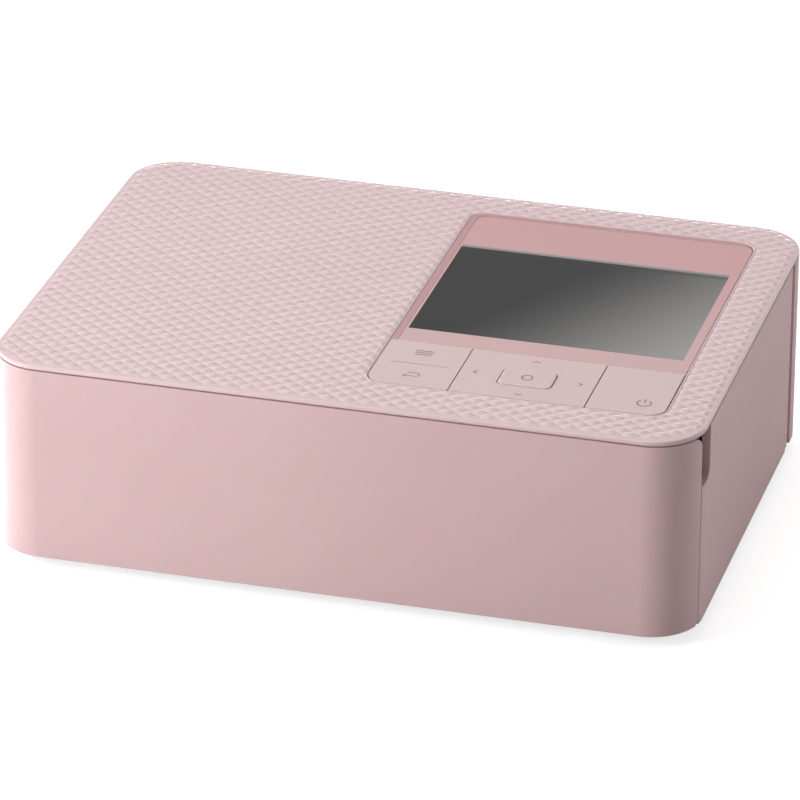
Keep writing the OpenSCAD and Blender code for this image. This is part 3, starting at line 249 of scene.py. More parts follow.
def softened(node, name, material, body, radius_mm, steps=3):
    """A moulding with the radius of its tool on every edge, from the frame's sharp one."""
    bm = bmesh.new()
    bm.from_mesh(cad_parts[node].data)
    bmesh.ops.remove_doubles(bm, verts=bm.verts, dist=WELD)
    bmesh.ops.dissolve_limit(bm, angle_limit=FLAT_TURN, verts=bm.verts, edges=bm.edges)
    mesh = bpy.data.meshes.new(name)
    bm.to_mesh(mesh)
    bm.free()
    mesh.shade_smooth()
    blank = bpy.data.objects.new(name, mesh)
    bpy.context.collection.objects.link(blank)
    edge = blank.modifiers.new("edge", "BEVEL")
    edge.width = radius_mm * MM
    edge.segments = steps
    edge.limit_method = "ANGLE"
    edge.angle_limit = EDGE_TURN
    edge.miter_outer = "MITER_ARC"
    flats = blank.modifiers.new("flats", "WEIGHTED_NORMAL")
    flats.weight = FLATS_WEIGHT
    piece = mesh_piece(name, plain_mesh(blank), material, body)
    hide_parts(node)


shell_abs = moulded("satin_pink_abs", SHELL_PINK, SHELL_ROUGH)
softened("front_cover", "front_cover_shell", shell_abs, "front_cover", COVER_EDGE_MM)
softened("casing", "casing_shell", shell_abs, "root", SHELL_EDGE_MM)
softened("ink_door", "side_door_shell", shell_abs, "ink_door", SHELL_EDGE_MM)

# Lid: one ABS moulding with a smooth rolled rim. Its field is a quilt of low diamond
# pillows, 5.1 by 4.16 mm, cut into the tool, which stops short of the rim and the panel.
# The lid's pinks are paler than the shell's: a painted sheen.
LID_PINK_SHEENED = ("#ddc5c7", "#d9bfc1")
QUILT_X = 5.10 * MM
QUILT_Y = 4.16 * MM
QUILT_AT = (76.4 * MM, 63.1 * MM)
PILLOW_H = 0.45 * MM
PILLOW_POWER = 2.2
PILLOW_STEPS = (-1.0, -0.7, -0.35, 0.0, 0.35, 0.7, 1.0)
GROOVE_FROM = 0.99
FADE_W = 0.5 * MM
LOW, HIGH = (Vector(corner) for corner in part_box("top_lid"))
TOP_PLAY = 0.02 * MM
FIELD_Z = HIGH.z - PILLOW_H - TOP_PLAY
LID_T = 1.7 * MM
LID_Z0 = HIGH.z - LID_T
LID_R = 13.5 * MM
# The rim: its width, its rounding, the broken edge at its foot, and the lip under it.
RIM_W = 1.4 * MM
RIM_R = 0.5 * MM
RIM_FLAT = 0.15 * MM
RIM_STEPS = 6
FOOT_EDGE = 0.12 * MM
LIP_W = 2.4 * MM
# The panel's opening, and rings round it, each an offset outwards and a height.
PANEL = dict(x0=3.4 * MM, x1=79.7 * MM, y0=-52.4 * MM, y1=55.0 * MM, r=4.8 * MM)
PANEL_RIM = 0.55 * MM
PANEL_RINGS = ((0.30 * MM, 0.22 * MM), (0.10 * MM, 0.14 * MM), (0.0, -0.06 * MM))
LID_WELD = 0.03 * MM
LID_SLIVER = 0.01 * MM
HOLE_SIDES = 12
SHARP_TURN = math.radians(55)


class Outline:
    """A rounded rectangle that tells how far from its edge a point lies."""

    def __init__(self, x0, y0, x1, y1, r):
        self.centre = Vector(((x0 + x1) / 2, (y0 + y1) / 2))
        self.half = Vector(((x1 - x0) / 2 - r, (y1 - y0) / 2 - r))
        self.r = r

    def near(self, x, y):
        """Signed distance, negative inside, and the outward normal there."""
        dx, dy = x - self.centre.x, y - self.centre.y
        qx, qy = abs(dx) - self.half.x, abs(dy) - self.half.y
        sx, sy = math.copysign(1, dx), math.copysign(1, dy)
        if qx > 0 and qy > 0:
            far = math.hypot(qx, qy)
            return far - self.r, Vector((sx * qx / far, sy * qy / far))
        if qx > qy:
            return qx - self.r, Vector((sx, 0.0))
        return qy - self.r, Vector((0.0, sy))


def grown(outline, by):
    """The same outline, moved outwards."""
    same = Outline(0, 0, 0, 0, 0)
    same.centre, same.half, same.r = outline.centre, outline.half, outline.r + by
    return same


lid_edge = Outline(LOW.x, LOW.y, HIGH.x, HIGH.y, LID_R)
field_edge = grown(lid_edge, -RIM_W)
panel_edge = Outline(PANEL["x0"], PANEL["y0"], PANEL["x1"], PANEL["y1"], PANEL["r"])
panel_rim = grown(panel_edge, PANEL_RIM)


def pillow_height(x, y, u, v):
    """Height over the field of a point at u, v of its diamond, from -1 to 1 each way."""
    inside = min(-field_edge.near(x, y)[0], panel_rim.near(x, y)[0])
    fade = max(0.0, min(1.0, inside / FADE_W))
    return PILLOW_H * fade * (1 - abs(u) ** PILLOW_POWER) * (1 - abs(v) ** PILLOW_POWER)


def clipped(corners, outline, keep_inside):
    """Cuts a small cell along the tangent of the outline nearest to its middle."""
    mid = sum((c for c in corners), Vector((0, 0))) / len(corners)
    far, normal = outline.near(mid.x, mid.y)
    edge = mid - normal * far
    sign = -1 if keep_inside else 1
    depth = [sign * (c - edge).dot(normal) for c in corners]
    cut = []
    for i, here in enumerate(corners):
        j = (i + 1) % len(corners)
        if depth[i] >= 0:
            cut.append(here)
        if (depth[i] > 0) != (depth[j] > 0) and depth[i] != depth[j]:
            cut.append(here.lerp(corners[j], depth[i] / (depth[i] - depth[j])))
    return cut


def in_field(cell):
    """What is left of a cell inside the rim and outside the panel."""
    outer = [field_edge.near(c.x, c.y)[0] for c in cell]
    inner = [panel_rim.near(c.x, c.y)[0] for c in cell]
    if min(outer) >= 0 or max(inner) <= 0:
        return []
    if max(outer) > 0:
        cell = clipped(cell, field_edge, True)
    if len(cell) > 2 and min(inner) < 0:
        cell = clipped(cell, panel_rim, False)
    return cell


def quilt_cells(ax, ay):
    """The small cells of every pillow, each with the middle of its pillow."""
    reach = int((HIGH.x - LOW.x) / ax) + 2
    steps = range(len(PILLOW_STEPS) - 1)
    for i in range(-reach, reach):
        for j in range(-reach, reach):
            cx, cy = QUILT_AT[0] + i * ax, QUILT_AT[1] + j * ay
            if (i + j) % 2 or lid_edge.near(cx, cy)[0] > 2 * ax:
                continue
            for a, b in ((a, b) for a in steps for b in steps):
                cell = []
                for p, q in ((a, b), (a + 1, b), (a + 1, b + 1), (a, b + 1)):
                    u, v = PILLOW_STEPS[p], PILLOW_STEPS[q]
                    cell.append(Vector((cx + (u - v) * ax / 2, cy + (u + v) * ay / 2)))
                cell = in_field(cell)
                if len(cell) > 2:
                    yield cx, cy, cell


def loops_of(bm):
    """The open edges of a mesh, sorted into loops."""
    todo = dict.fromkeys(e for e in bm.edges if e.is_boundary)
    loops = []
    while todo:
        stack = [todo.popitem()[0]]
        loop = []
        while stack:
            edge = stack.pop()
            loop.append(edge)
            for other in (e for vert in edge.verts for e in vert.link_edges):
                if other in todo:
                    del todo[other]
                    stack.append(other)
        loops.append(loop)
    return loops


def unpinched(bm):
    """Takes off the slivers that leave a boundary touching itself at one point."""
    while True:
        bmesh.ops.delete(bm, geom=[e for e in bm.edges if e.is_wire], context="EDGES")
        pinched = [v for v in bm.verts if sum(e.is_boundary for e in v.link_edges) > 2]
        slivers = {min(v.link_faces, key=lambda face: face.calc_area()) for v in pinched}
        if not slivers:
            return
        bmesh.ops.delete(bm, geom=list(slivers), context="FACES")


def pulled(bm, edges, outline, offset, z):
    """One more ring round a loop, at an offset from the outline and at a height."""
    done = bmesh.ops.extrude_edge_only(bm, edges=edges)["geom"]
    for vert in (g for g in done if isinstance(g, bmesh.types.BMVert)):
        far, normal = outline.near(vert.co.x, vert.co.y)
        vert.co.x += normal.x * (offset - far)
        vert.co.y += normal.y * (offset - far)
        vert.co.z = z
    return [g for g in done if isinstance(g, bmesh.types.BMEdge) and g.is_boundary]


def lid_mesh():
    """The quilted field, the rings of the rim and of the panel's opening, and the base."""
    ax, ay = QUILT_X / 2, QUILT_Y / 2
    bm = bmesh.new()
    groove = bm.verts.layers.int.new("groove")
    made = {}

    def corner(x, y, u, v):
        key = (round(x * 1e6), round(y * 1e6))
        if key not in made:
            made[key] = bm.verts.new((x, y, FIELD_Z + pillow_height(x, y, u, v)))
            made[key][groove] = int(max(abs(u), abs(v)) > GROOVE_FROM)
        return made[key]

    for cx, cy, cell in quilt_cells(ax, ay):
        ring = []
        for c in cell:
            s, t = (c.x - cx) / ax, (c.y - cy) / ay
            vert = corner(c.x, c.y, s + t, t - s)
            if vert not in ring:
                ring.append(vert)
        if len(ring) > 2 and bm.faces.get(ring) is None:
            bm.faces.new(ring)
    bmesh.ops.remove_doubles(bm, verts=bm.verts, dist=LID_WELD)
    bmesh.ops.dissolve_degenerate(bm, edges=bm.edges, dist=LID_SLIVER)
    bmesh.ops.holes_fill(bm, edges=[e for e in bm.edges if e.is_boundary], sides=HOLE_SIDES)
    unpinched(bm)

    inner, outer = sorted(
        loops_of(bm), key=lambda loop: abs(panel_rim.near(*loop[0].verts[0].co.xy)[0]))
    rings = [(-RIM_R - RIM_FLAT, FIELD_Z)]
    for k in range(RIM_STEPS + 1):
        angle = math.radians(90 * k / RIM_STEPS)
        rings.append((-RIM_R * (1 - math.sin(angle)), FIELD_Z - RIM_R * (1 - math.cos(angle))))
    rings += [(0.0, LID_Z0 + FOOT_EDGE), (-FOOT_EDGE, LID_Z0), (-LIP_W, LID_Z0)]
    for offset, z in rings:
        outer = pulled(bm, outer, lid_edge, offset, z)
    for offset, rise in PANEL_RINGS:
        inner = pulled(bm, inner, panel_edge, offset, FIELD_Z + rise)
    inner = pulled(bm, inner, panel_edge, 0.0, LID_Z0)
    bmesh.ops.triangle_fill(bm, use_beauty=True, use_dissolve=False, edges=outer + inner,
                            normal=(0, 0, -1))
    bmesh.ops.recalc_face_normals(bm, faces=bm.faces)

    for face in bm.faces:
        face.smooth = True
    for edge in bm.edges:
        in_groove = all(vert[groove] for vert in edge.verts)
        edge.smooth = not in_groove and edge.calc_face_angle(0.0) < SHARP_TURN
    mesh = bpy.data.meshes.new("lid")
    bm.to_mesh(mesh)
    bm.free()
    return mesh


# Painted sheen: the lid is a paler pink than the shell.
lid_abs = moulded("satin_pink_abs_lid", LID_PINK_SHEENED, rough=0.2, grain=0.05, bleed=0.05)
lid = mesh_piece("lid_quilted", lid_mesh(), lid_abs, "root")
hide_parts("top_lid")

# Control panel tray: smooth moulded ABS under the lens, with a sloping band of its own
# along the left and rear edge. The band is painted a shade deeper than the lid: painted
# shade on its slope. The band's inner corner is rounded as the lens is, by a small web
# that the tool leaves there.
BAND_PINK_SHADED = ("#c49c9e", "#bb9294")
BAND_EDGE_MM = 0.2
WEB_PLAY = 0.06 * MM
WEB_STEPS = 12


def corner_web():
    """A web with a hollow quarter round, at the lens's left rear corner."""
    low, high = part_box("display_window")
    r = PANEL["r"] - (low[0] - PANEL["x0"]) + WEB_PLAY
    centre = Vector((low[0] + r - WEB_PLAY, high[1] - r + WEB_PLAY))
    turns = [math.radians(90 + 90 * k / WEB_STEPS) for k in range(WEB_STEPS + 1)]
    ring = [centre + Vector((math.cos(t), math.sin(t))) * r for t in turns]
    ring.append(Vector((centre.x - r, centre.y + r)))
    count = len(ring)
    spots = [(p.x, p.y, z) for z in (low[2], high[2] - WEB_PLAY) for p in ring]
    faces = [tuple(range(count))[::-1], tuple(range(count, 2 * count))]
    faces += [(k, (k + 1) % count, count + (k + 1) % count, count + k) for k in range(count)]
    mesh = bpy.data.meshes.new("tray_corner")
    mesh.from_pydata(spots, [], faces)
    return mesh


# Painted shade: the band is a deeper pink than the lid.
band_abs = moulded("smooth_pink_abs", BAND_PINK_SHADED, rough=0.34, grain=0.03)
softened("panel_tray", "panel_tray_band", band_abs, "root", BAND_EDGE_MM, 2)
mesh_piece("panel_tray_corner", corner_web(), band_abs, "root")

# Lens: a flat pane of hard-coated acrylic, painted pink on its back but for the clear
# window. Under the window lies the dark, unlit screen, with its grey shield at the rear.
# The pink is painted lighter at the front and darker at the rear: painted light and shade.
LENS_PINK = "#d2a4a5"
LENS_PINK_FRONT_LIT = "#d2b0af"
SCREEN_DARK = "#060607"
# The pale grey that the painted reflection on the screen reaches.
SCREEN_REFLECTION_GREY = "#a3a09e"
SHIELD_GREY = "#8e9090"
# The dark of a painted shadow on the screen, in front of its shield.
SCREEN_SHADOW_DARK = "#1f2122"
PICTURE = dict(x0=6.0 * MM, x1=77.1 * MM, y0=-19.3 * MM, y1=34.0 * MM)
SHIELD_D = 1.2 * MM
# A painted shadow darkens a band of the screen in front of its shield.
SHADE_D = 3.2 * MM
SHADE_SHARE = 0.35
# A painted reflection lightens the screen from left to right, and a little towards the front.
REFLECTION_SLANT = 0.42
REFLECTION_SPAN = (0.50, 1.60)
LENS_EDGE_MM = 0.22
LENS_ROUGH = (0.10, 0.18)
SMEAR_W = 71.4 * MM
WAVE_W = 16.7 * MM


def inside_range(tree, value, low, high):
    """1 where a value lies between two bounds, else 0."""
    above = add(tree, "ShaderNodeMath", {0: value, 1: low}, operation="GREATER_THAN")
    below = add(tree, "ShaderNodeMath", {0: value, 1: high}, operation="LESS_THAN")
    pair = {0: above.outputs[0], 1: below.outputs[0]}
    return add(tree, "ShaderNodeMath", pair, operation="MULTIPLY").outputs[0]


def lens_glass():
    """Back-painted acrylic: the paint or the screen under one glossy, nearly flat face."""
    material = blank_material("back_painted_lens")
    tree = material.node_tree
    place = add(tree, "ShaderNodeTexCoord").outputs["Object"]
    axes = add(tree, "ShaderNodeSeparateXYZ", {0: place})
    x, y = axes.outputs[0], axes.outputs[1]
    in_x = inside_range(tree, x, PICTURE["x0"], PICTURE["x1"])
    in_y = inside_range(tree, y, PICTURE["y0"], PICTURE["y1"])
    window = add(tree, "ShaderNodeMath", {0: in_x, 1: in_y}, operation="MULTIPLY")
    # Painted reflection: the screen goes from dark to pale grey across it and towards the front.
    across = add(tree, "ShaderNodeMapRange", {0: x, 1: PICTURE["x0"], 2: PICTURE["x1"]})
    along = add(tree, "ShaderNodeMapRange", {0: y, 1: PICTURE["y1"], 2: PICTURE["y0"]})
    slant = add(tree, "ShaderNodeMath", {0: along.outputs[0], 1: REFLECTION_SLANT}, operation="MULTIPLY")
    painted_reflection = add(tree, "ShaderNodeMath", {0: across.outputs[0], 1: slant.outputs[0]}, operation="ADD")
    level = add(tree, "ShaderNodeMapRange", {
        0: painted_reflection.outputs[0], 1: REFLECTION_SPAN[0], 2: REFLECTION_SPAN[1]}, interpolation_type="SMOOTHSTEP")
    screen = add(tree, "ShaderNodeMix", {
        0: level.outputs[0], 6: linear(SCREEN_DARK), 7: linear(SCREEN_REFLECTION_GREY)}, data_type="RGBA")
    # Painted shadow: the band in front of the shield is darkened.
    shade = inside_range(tree, y, PICTURE["y1"] - SHADE_D, PICTURE["y1"])
    dim = add(tree, "ShaderNodeMath", {0: shade, 1: SHADE_SHARE}, operation="MULTIPLY")
    shaded = add(tree, "ShaderNodeMix", {
        0: dim.outputs[0], 6: screen.outputs[2], 7: linear(SCREEN_SHADOW_DARK)}, data_type="RGBA")
    shield = inside_range(tree, y, PICTURE["y1"] - SHIELD_D, PICTURE["y1"])
    picture = add(tree, "ShaderNodeMix", {
        0: shield, 6: shaded.outputs[2], 7: linear(SHIELD_GREY)}, data_type="RGBA")
    # Painted shade: the back paint darkens from the front towards the rear.
    paint_shade_ramp = add(tree, "ShaderNodeMapRange", {0: y, 1: PICTURE["y0"], 2: PICTURE["y1"]})
    paint = add(tree, "ShaderNodeMix", {
        0: paint_shade_ramp.outputs[0], 6: linear(LENS_PINK_FRONT_LIT), 7: linear(LENS_PINK)}, data_type="RGBA")
    face = add(tree, "ShaderNodeMix", {
        0: window.outputs[0], 6: paint.outputs[2], 7: picture.outputs[2]}, data_type="RGBA")
    cloud = add(tree, "ShaderNodeTexNoise", {"Vector": place, "Scale": 1 / SMEAR_W, "Detail": 2.0})
    film = add(tree, "ShaderNodeMapRange", {
        0: cloud.outputs[0], 3: LENS_ROUGH[0], 4: LENS_ROUGH[1]})
    wave = add(tree, "ShaderNodeTexNoise", {"Vector": place, "Scale": 1 / WAVE_W, "Detail": 1.0})
    relief = add(tree, "ShaderNodeBump", {
        "Strength": 0.04, "Distance": 0.02 * MM, "Height": wave.outputs[0]})
    body = add(tree, "ShaderNodeBsdfPrincipled", {
        "Base Color": face.outputs[2], "Roughness": film.outputs[0], "IOR": 1.49,
        "Coat Weight": 0.4, "Coat Roughness": 0.05, "Normal": relief.outputs[0]})
    add(tree, "ShaderNodeOutputMaterial", {0: body.outputs[0]})
    return material


softened("display_window", "lens_pane", lens_glass(), "root", LENS_EDGE_MM)

# Keys: four caps of the same ABS with a fine satin, their edges rounded in the tool. The
# left one rocks on a pin, the middle pad tilts every way, and two are pressed straight.
KEY_PINK = ("#ddc5c4", "#d8bebd")
KEY_EDGE_MM = 0.36

key_abs = moulded("satin_key_abs", KEY_PINK, rough=0.24, grain=0.04, coat=0.3)
for key in ("menu_key", "nav_pad", "ok_key", "power_key"):
    softened(key, key + "_cap", key_abs, key, KEY_EDGE_MM)

# Key symbols: pad-printed in a brownish pink, 0.015 mm thick. They are plain signs of no
# maker: a list, a line, a return arrow, four chevrons, a ring, and the power sign. Each
# place is in millimetres, and its strokes are drawn round it.
INK_PINK = ("#a2868b", "#977b80")
INK_T = 0.015 * MM
STROKE_MM = 0.32
LEAST_MITRE = 0.35
ARROW_MM = 0.95
KEY_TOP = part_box("power_key")[1][2]
OK_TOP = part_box("ok_key")[1][2]
LIST_AT = (13.9, -33.0)
LINE_AT = (14.6, -39.6)
RETURN_AT = (14.2, -45.6)
PAD_AT = (42.35, -40.4)
POWER_AT = (73.4, -46.0)

print_ink = moulded("pad_print_ink", INK_PINK, rough=0.5, grain=0.0)


def ribbon(bm, points, width, z0, z1):
    """A flat closed strip along a line of points, with mitred bends."""
    spots = [Vector(p) for p in points]
    rows = []
    for i, spot in enumerate(spots):
        before = (spot - spots[i - 1]).normalized() if i else None
        after = (spots[i + 1] - spot).normalized() if i + 1 < len(spots) else None
        ahead = ((before or after) + (after or before)).normalized()
        side = Vector((-ahead.y, ahead.x))
        stretch = 1 / max(LEAST_MITRE, ahead.dot(after or before))
        offset = side * (width / 2 * stretch)
        ends = (spot - offset, spot + offset)
        rows.append([bm.verts.new((p.x, p.y, z)) for z in (z0, z1) for p in ends])
    for a, b in zip(rows, rows[1:]):
        for i, j in ((0, 1), (1, 3), (3, 2), (2, 0)):
            bm.faces.new((a[i], a[j], b[j], b[i]))
    for row in (rows[0], rows[-1]):
        bm.faces.new((row[0], row[1], row[3], row[2]))


def arc(x, y, r, start, end, steps=24):
    """Points of an arc from one angle to another, in degrees."""
    turns = [math.radians(start + (end - start) * k / steps) for k in range(steps + 1)]
    return [(x + r * math.cos(t), y + r * math.sin(t)) for t in turns]


def chevron(x, y, dx, dy):
    """An open arrowhead that points along dx, dy."""
    return [(x - ARROW_MM * (dx * 0.5 + dy), y - ARROW_MM * (dy * 0.5 + dx)),
            (x + ARROW_MM * dx * 0.5, y + ARROW_MM * dy * 0.5),
            (x - ARROW_MM * (dx * 0.5 - dy), y - ARROW_MM * (dy * 0.5 - dx))]


def symbol(name, at, strokes, top, body, stroke_mm=STROKE_MM):
    """Strokes of ink on the top of a key, sunk into it by as much as they stand out."""
    bm = bmesh.new()
    for points in strokes:
        line = [((at[0] + x) * MM, (at[1] + y) * MM) for x, y in points]
        ribbon(bm, line, stroke_mm * MM, top - INK_T, top + INK_T)
    bmesh.ops.recalc_face_normals(bm, faces=bm.faces)
    mesh = bpy.data.meshes.new(name)
    bm.to_mesh(mesh)
    bm.free()
    mesh_piece(name, mesh, print_ink, body)


list_lines = [[(-2.3, y), (2.3, y)] for y in (-1.1, 0.0, 1.1)]
return_bow = [(-1.5, 0.8), (0.9, 0.8)] + arc(0.9, -0.15, 0.95, 85, -85) + [(-2.0, -1.1)]
return_tip = [(-1.2, -0.4), (-2.1, -1.1), (-1.2, -1.8)]
arrows = [chevron(-13.35, 0.4, -1, 0), chevron(13.45, 0.4, 1, 0),
          chevron(0.0, 10.0, 0, 1), chevron(0.0, -9.2, 0, -1)]
power_bow = arc(0.0, 0.0, 1.75, 125, 415, 40)
power_bar = [(0.0, 2.3), (0.0, 0.4)]
symbol("list_sign", LIST_AT, list_lines, KEY_TOP, "menu_key", 0.42)
symbol("key_line", LINE_AT, [[(-7.6, 0.0), (7.6, 0.0)]], KEY_TOP, "menu_key", 0.2)
symbol("return_sign", RETURN_AT, [return_bow, return_tip], KEY_TOP, "menu_key")
symbol("arrow_signs", PAD_AT, arrows, KEY_TOP, "nav_pad")
symbol("ring_sign", PAD_AT, [arc(0.0, 0.0, 1.35, 0, 360, 40)], OK_TOP, "ok_key", 0.4)
symbol("power_sign", POWER_AT, [power_bow, power_bar], KEY_TOP, "power_key", 0.38)

# Feet and rollers: soft black rubber, ground dull. The platen's steel journals stick out
# of its rubber at both ends, and the pickup tyres are narrow rings of the same rubber.
FOOT_BLACK = "#26262a"
ROLLER_BLACK = "#2a2a2c"
RUBBER_DUST = "#3a393b"
RUBBER_ROUGH = (0.72, 0.9)
# The pits are a tenth of this in the real rubber, and are drawn as wide as they need to show.
PIT_W = 2.38 * MM


def finish(nodes, material):
    """Gives the frame's own pieces their material."""
    for node in nodes:
        give_material(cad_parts[node].data, material)


def rubber(name, colour):
    """Ground rubber: dull and black, with a pale dust in the pits of the grinding."""
    material = blank_material(name)
    tree = material.node_tree
    place = add(tree, "ShaderNodeTexCoord").outputs["Object"]
    dust = add(tree, "ShaderNodeTexNoise", {"Vector": place, "Scale": 1 / PIT_W, "Detail": 4.0})
    tint = add(tree, "ShaderNodeMix", {
        0: dust.outputs[0], 6: linear(colour), 7: linear(RUBBER_DUST)}, data_type="RGBA")
    dull = add(tree, "ShaderNodeMapRange", {
        0: dust.outputs[0], 3: RUBBER_ROUGH[0], 4: RUBBER_ROUGH[1]})
    relief = add(tree, "ShaderNodeBump", {
        "Strength": 0.2, "Distance": 0.03 * MM, "Height": dust.outputs[0]})
    body = add(tree, "ShaderNodeBsdfPrincipled", {
        "Base Color": tint.outputs[2], "Roughness": dull.outputs[0], "IOR": 1.51,
        "Specular IOR Level": 0.3, "Normal": relief.outputs[0]})
    add(tree, "ShaderNodeOutputMaterial", {0: body.outputs[0]})
    return material


finish(["foot_pads"], rubber("foot_rubber", FOOT_BLACK))
finish(["platen_roller", "pickup_tyres"], rubber("ground_rubber", ROLLER_BLACK))

# Shafts, pins and rollers: turned steel with fine rings round the axis. The side plates,
# the motor bracket and the head's arm are zinc-plated sheet with a faint spangle.
STEEL = ("#b9bbc0", "#9fa1a7")
ZINC = ("#c4c6c6", "#acaead")
STEEL_ROUGH = (0.2, 0.36)
ZINC_ROUGH = (0.3, 0.46)
RING_STEP = 0.25 * MM
CRYSTAL_W = 3.125 * MM
MOTTLE_W = 11.1 * MM


def turned_steel():
    """Turned steel: bright, with the tool's rings across the axis in tint and relief."""
    material = blank_material("turned_steel")
    tree = material.node_tree
    place = add(tree, "ShaderNodeTexCoord").outputs["Object"]
    axes = add(tree, "ShaderNodeSeparateXYZ", {0: place})
    rings = add(tree, "ShaderNodeTexNoise", {
        "W": axes.outputs[0], "Scale": 1 / RING_STEP, "Detail": 3.0}, noise_dimensions="1D")
    tint = add(tree, "ShaderNodeMix", {
        0: rings.outputs[0], 6: linear(STEEL[0]), 7: linear(STEEL[1])}, data_type="RGBA")
    polish = add(tree, "ShaderNodeMapRange", {
        0: rings.outputs[0], 3: STEEL_ROUGH[0], 4: STEEL_ROUGH[1]})
    relief = add(tree, "ShaderNodeBump", {
        "Strength": 0.15, "Distance": 0.01 * MM, "Height": rings.outputs[0]})
    body = add(tree, "ShaderNodeBsdfPrincipled", {
        "Base Color": tint.outputs[2], "Metallic": 1.0, "Roughness": polish.outputs[0],
        "Normal": relief.outputs[0]})
    add(tree, "ShaderNodeOutputMaterial", {0: body.outputs[0]})
    return material


def zinc_plate(name):
    """Zinc plating: pale and half dull, with crystals of about 3 mm and a fine mottle."""
    material = blank_material(name)
    tree = material.node_tree
    place = add(tree, "ShaderNodeTexCoord").outputs["Object"]
    flakes = add(tree, "ShaderNodeTexVoronoi", {"Vector": place, "Scale": 1 / CRYSTAL_W})
    grain = add(tree, "ShaderNodeTexNoise", {"Vector": place, "Scale": 1 / MOTTLE_W, "Detail": 4.0})
    shift = add(tree, "ShaderNodeMath", {
        0: flakes.outputs["Distance"], 1: grain.outputs[0]}, operation="MULTIPLY")
    tint = add(tree, "ShaderNodeMix", {
        0: shift.outputs[0], 6: linear(ZINC[0]), 7: linear(ZINC[1])}, data_type="RGBA")
    polish = add(tree, "ShaderNodeMapRange", {
        0: shift.outputs[0], 3: ZINC_ROUGH[0], 4: ZINC_ROUGH[1]})
    relief = add(tree, "ShaderNodeBump", {
        "Strength": 0.06, "Distance": 0.02 * MM, "Height": grain.outputs[0]})
    body = add(tree, "ShaderNodeBsdfPrincipled", {
        "Base Color": tint.outputs[2], "Metallic": 1.0, "Roughness": polish.outputs[0],
        "Normal": relief.outputs[0]})
    add(tree, "ShaderNodeOutputMaterial", {0: body.outputs[0]})
    return material


finish(["cover_hinge_pins", "door_hinge_pins", "tie_bars", "feed_roller", "pinch_roller",
        "pickup_shaft", "head_pivot", "feed_motor", "ribbon_motor"], turned_steel())
finish(["left_plate", "right_plate", "motor_bracket", "head_arm", "card_socket", "usb_socket"],
       zinc_plate("zinc_plated_sheet"))

# Inner mouldings: grey structural plastic for the base and the frames, black plastic for
# the guides, the cassette, the fan and the power inlet, pale acetal for the gears, which
# turn unoiled, and a sheet of silicone domes under the keys.
FRAME_GREY = ("#8b8c90", "#7f8084")
INNER_BLACK = ("#222326", "#2b2c30")
CASSETTE_GREY = ("#3c3e43", "#34363b")
MODULE_BLACK = ("#17181a", "#1f2022")
ACETAL = ("#e6e2d6", "#dcd7c9")
SILICONE = ("#d2d1cb", "#c6c5bf")

finish(["base_pan", "feed_frame", "side_frame", "pad_gimbal"],
       moulded("structural_grey_plastic", FRAME_GREY, rough=0.5))
finish(["paper_guide", "power_inlet", "fan_housing", "fan_rotor"],
       moulded("black_inner_plastic", INNER_BLACK, rough=0.48))
finish(["cassette_case", "takeup_spool"], moulded("cassette_plastic", CASSETTE_GREY, rough=0.44))
finish(["lcd_module"], moulded("module_black", MODULE_BLACK, rough=0.3, grain=0.02))
finish(["feed_gear", "feed_pinion", "ribbon_pinion", "idler_gear", "pickup_gear", "takeup_gear"],
       moulded("natural_acetal", ACETAL, rough=0.38, grain=0.04, ior=1.48))
finish(["key_dome_sheet"], moulded("silicone_domes", SILICONE, rough=0.55))

# Print head: a ground aluminium block under the arm. Ribbon: a thin film that repeats
# its panels of dye along the web, wound on the supply spool as one dark glossy roll.
HEAD_GREY = ("#8f9397", "#a3a7aa")
HEAD_ROUGH = (0.28, 0.42)
LINE_L = 3.33 * MM
LINE_STRETCH = (1.0, 14.0, 14.0)
DYE_STEP = 12.5 * MM
DYES = ("#d8b93a", "#b03a68", "#3a7fae", "#d9d4cf")
DYE_ROLL = ("#2c2430", "#241d28")
FILM_ROUGH = (0.14, 0.26)
CREASE_W = 22.2 * MM


def dye_film():
    """Dye film: glossy, in even panels of yellow, red, blue and a clear overcoat."""
    material = blank_material("dye_film")
    tree = material.node_tree
    place = add(tree, "ShaderNodeTexCoord").outputs["Object"]
    axes = add(tree, "ShaderNodeSeparateXYZ", {0: place})
    turn = add(tree, "ShaderNodeMath", {
        0: axes.outputs[1], 1: len(DYES) * DYE_STEP}, operation="DIVIDE")
    part = add(tree, "ShaderNodeMath", {0: turn.outputs[0]}, operation="FRACT")
    panels = add(tree, "ShaderNodeValToRGB", {0: part.outputs[0]})
    ramp = panels.color_ramp
    ramp.interpolation = "CONSTANT"
    for k, dye in enumerate(DYES):
        spot = ramp.elements[k] if k < 2 else ramp.elements.new(k / len(DYES))
        spot.position = k / len(DYES)
        spot.color = linear(dye)
    crease = add(tree, "ShaderNodeTexNoise", {
        "Vector": place, "Scale": 1 / CREASE_W, "Detail": 2.0})
    film = add(tree, "ShaderNodeMapRange", {
        0: crease.outputs[0], 3: FILM_ROUGH[0], 4: FILM_ROUGH[1]})
    relief = add(tree, "ShaderNodeBump", {
        "Strength": 0.1, "Distance": 0.1 * MM, "Height": crease.outputs[0]})
    body = add(tree, "ShaderNodeBsdfPrincipled", {
        "Base Color": panels.outputs[0], "Roughness": film.outputs[0], "IOR": 1.6,
        "Normal": relief.outputs[0]})
    add(tree, "ShaderNodeOutputMaterial", {0: body.outputs[0]})
    return material


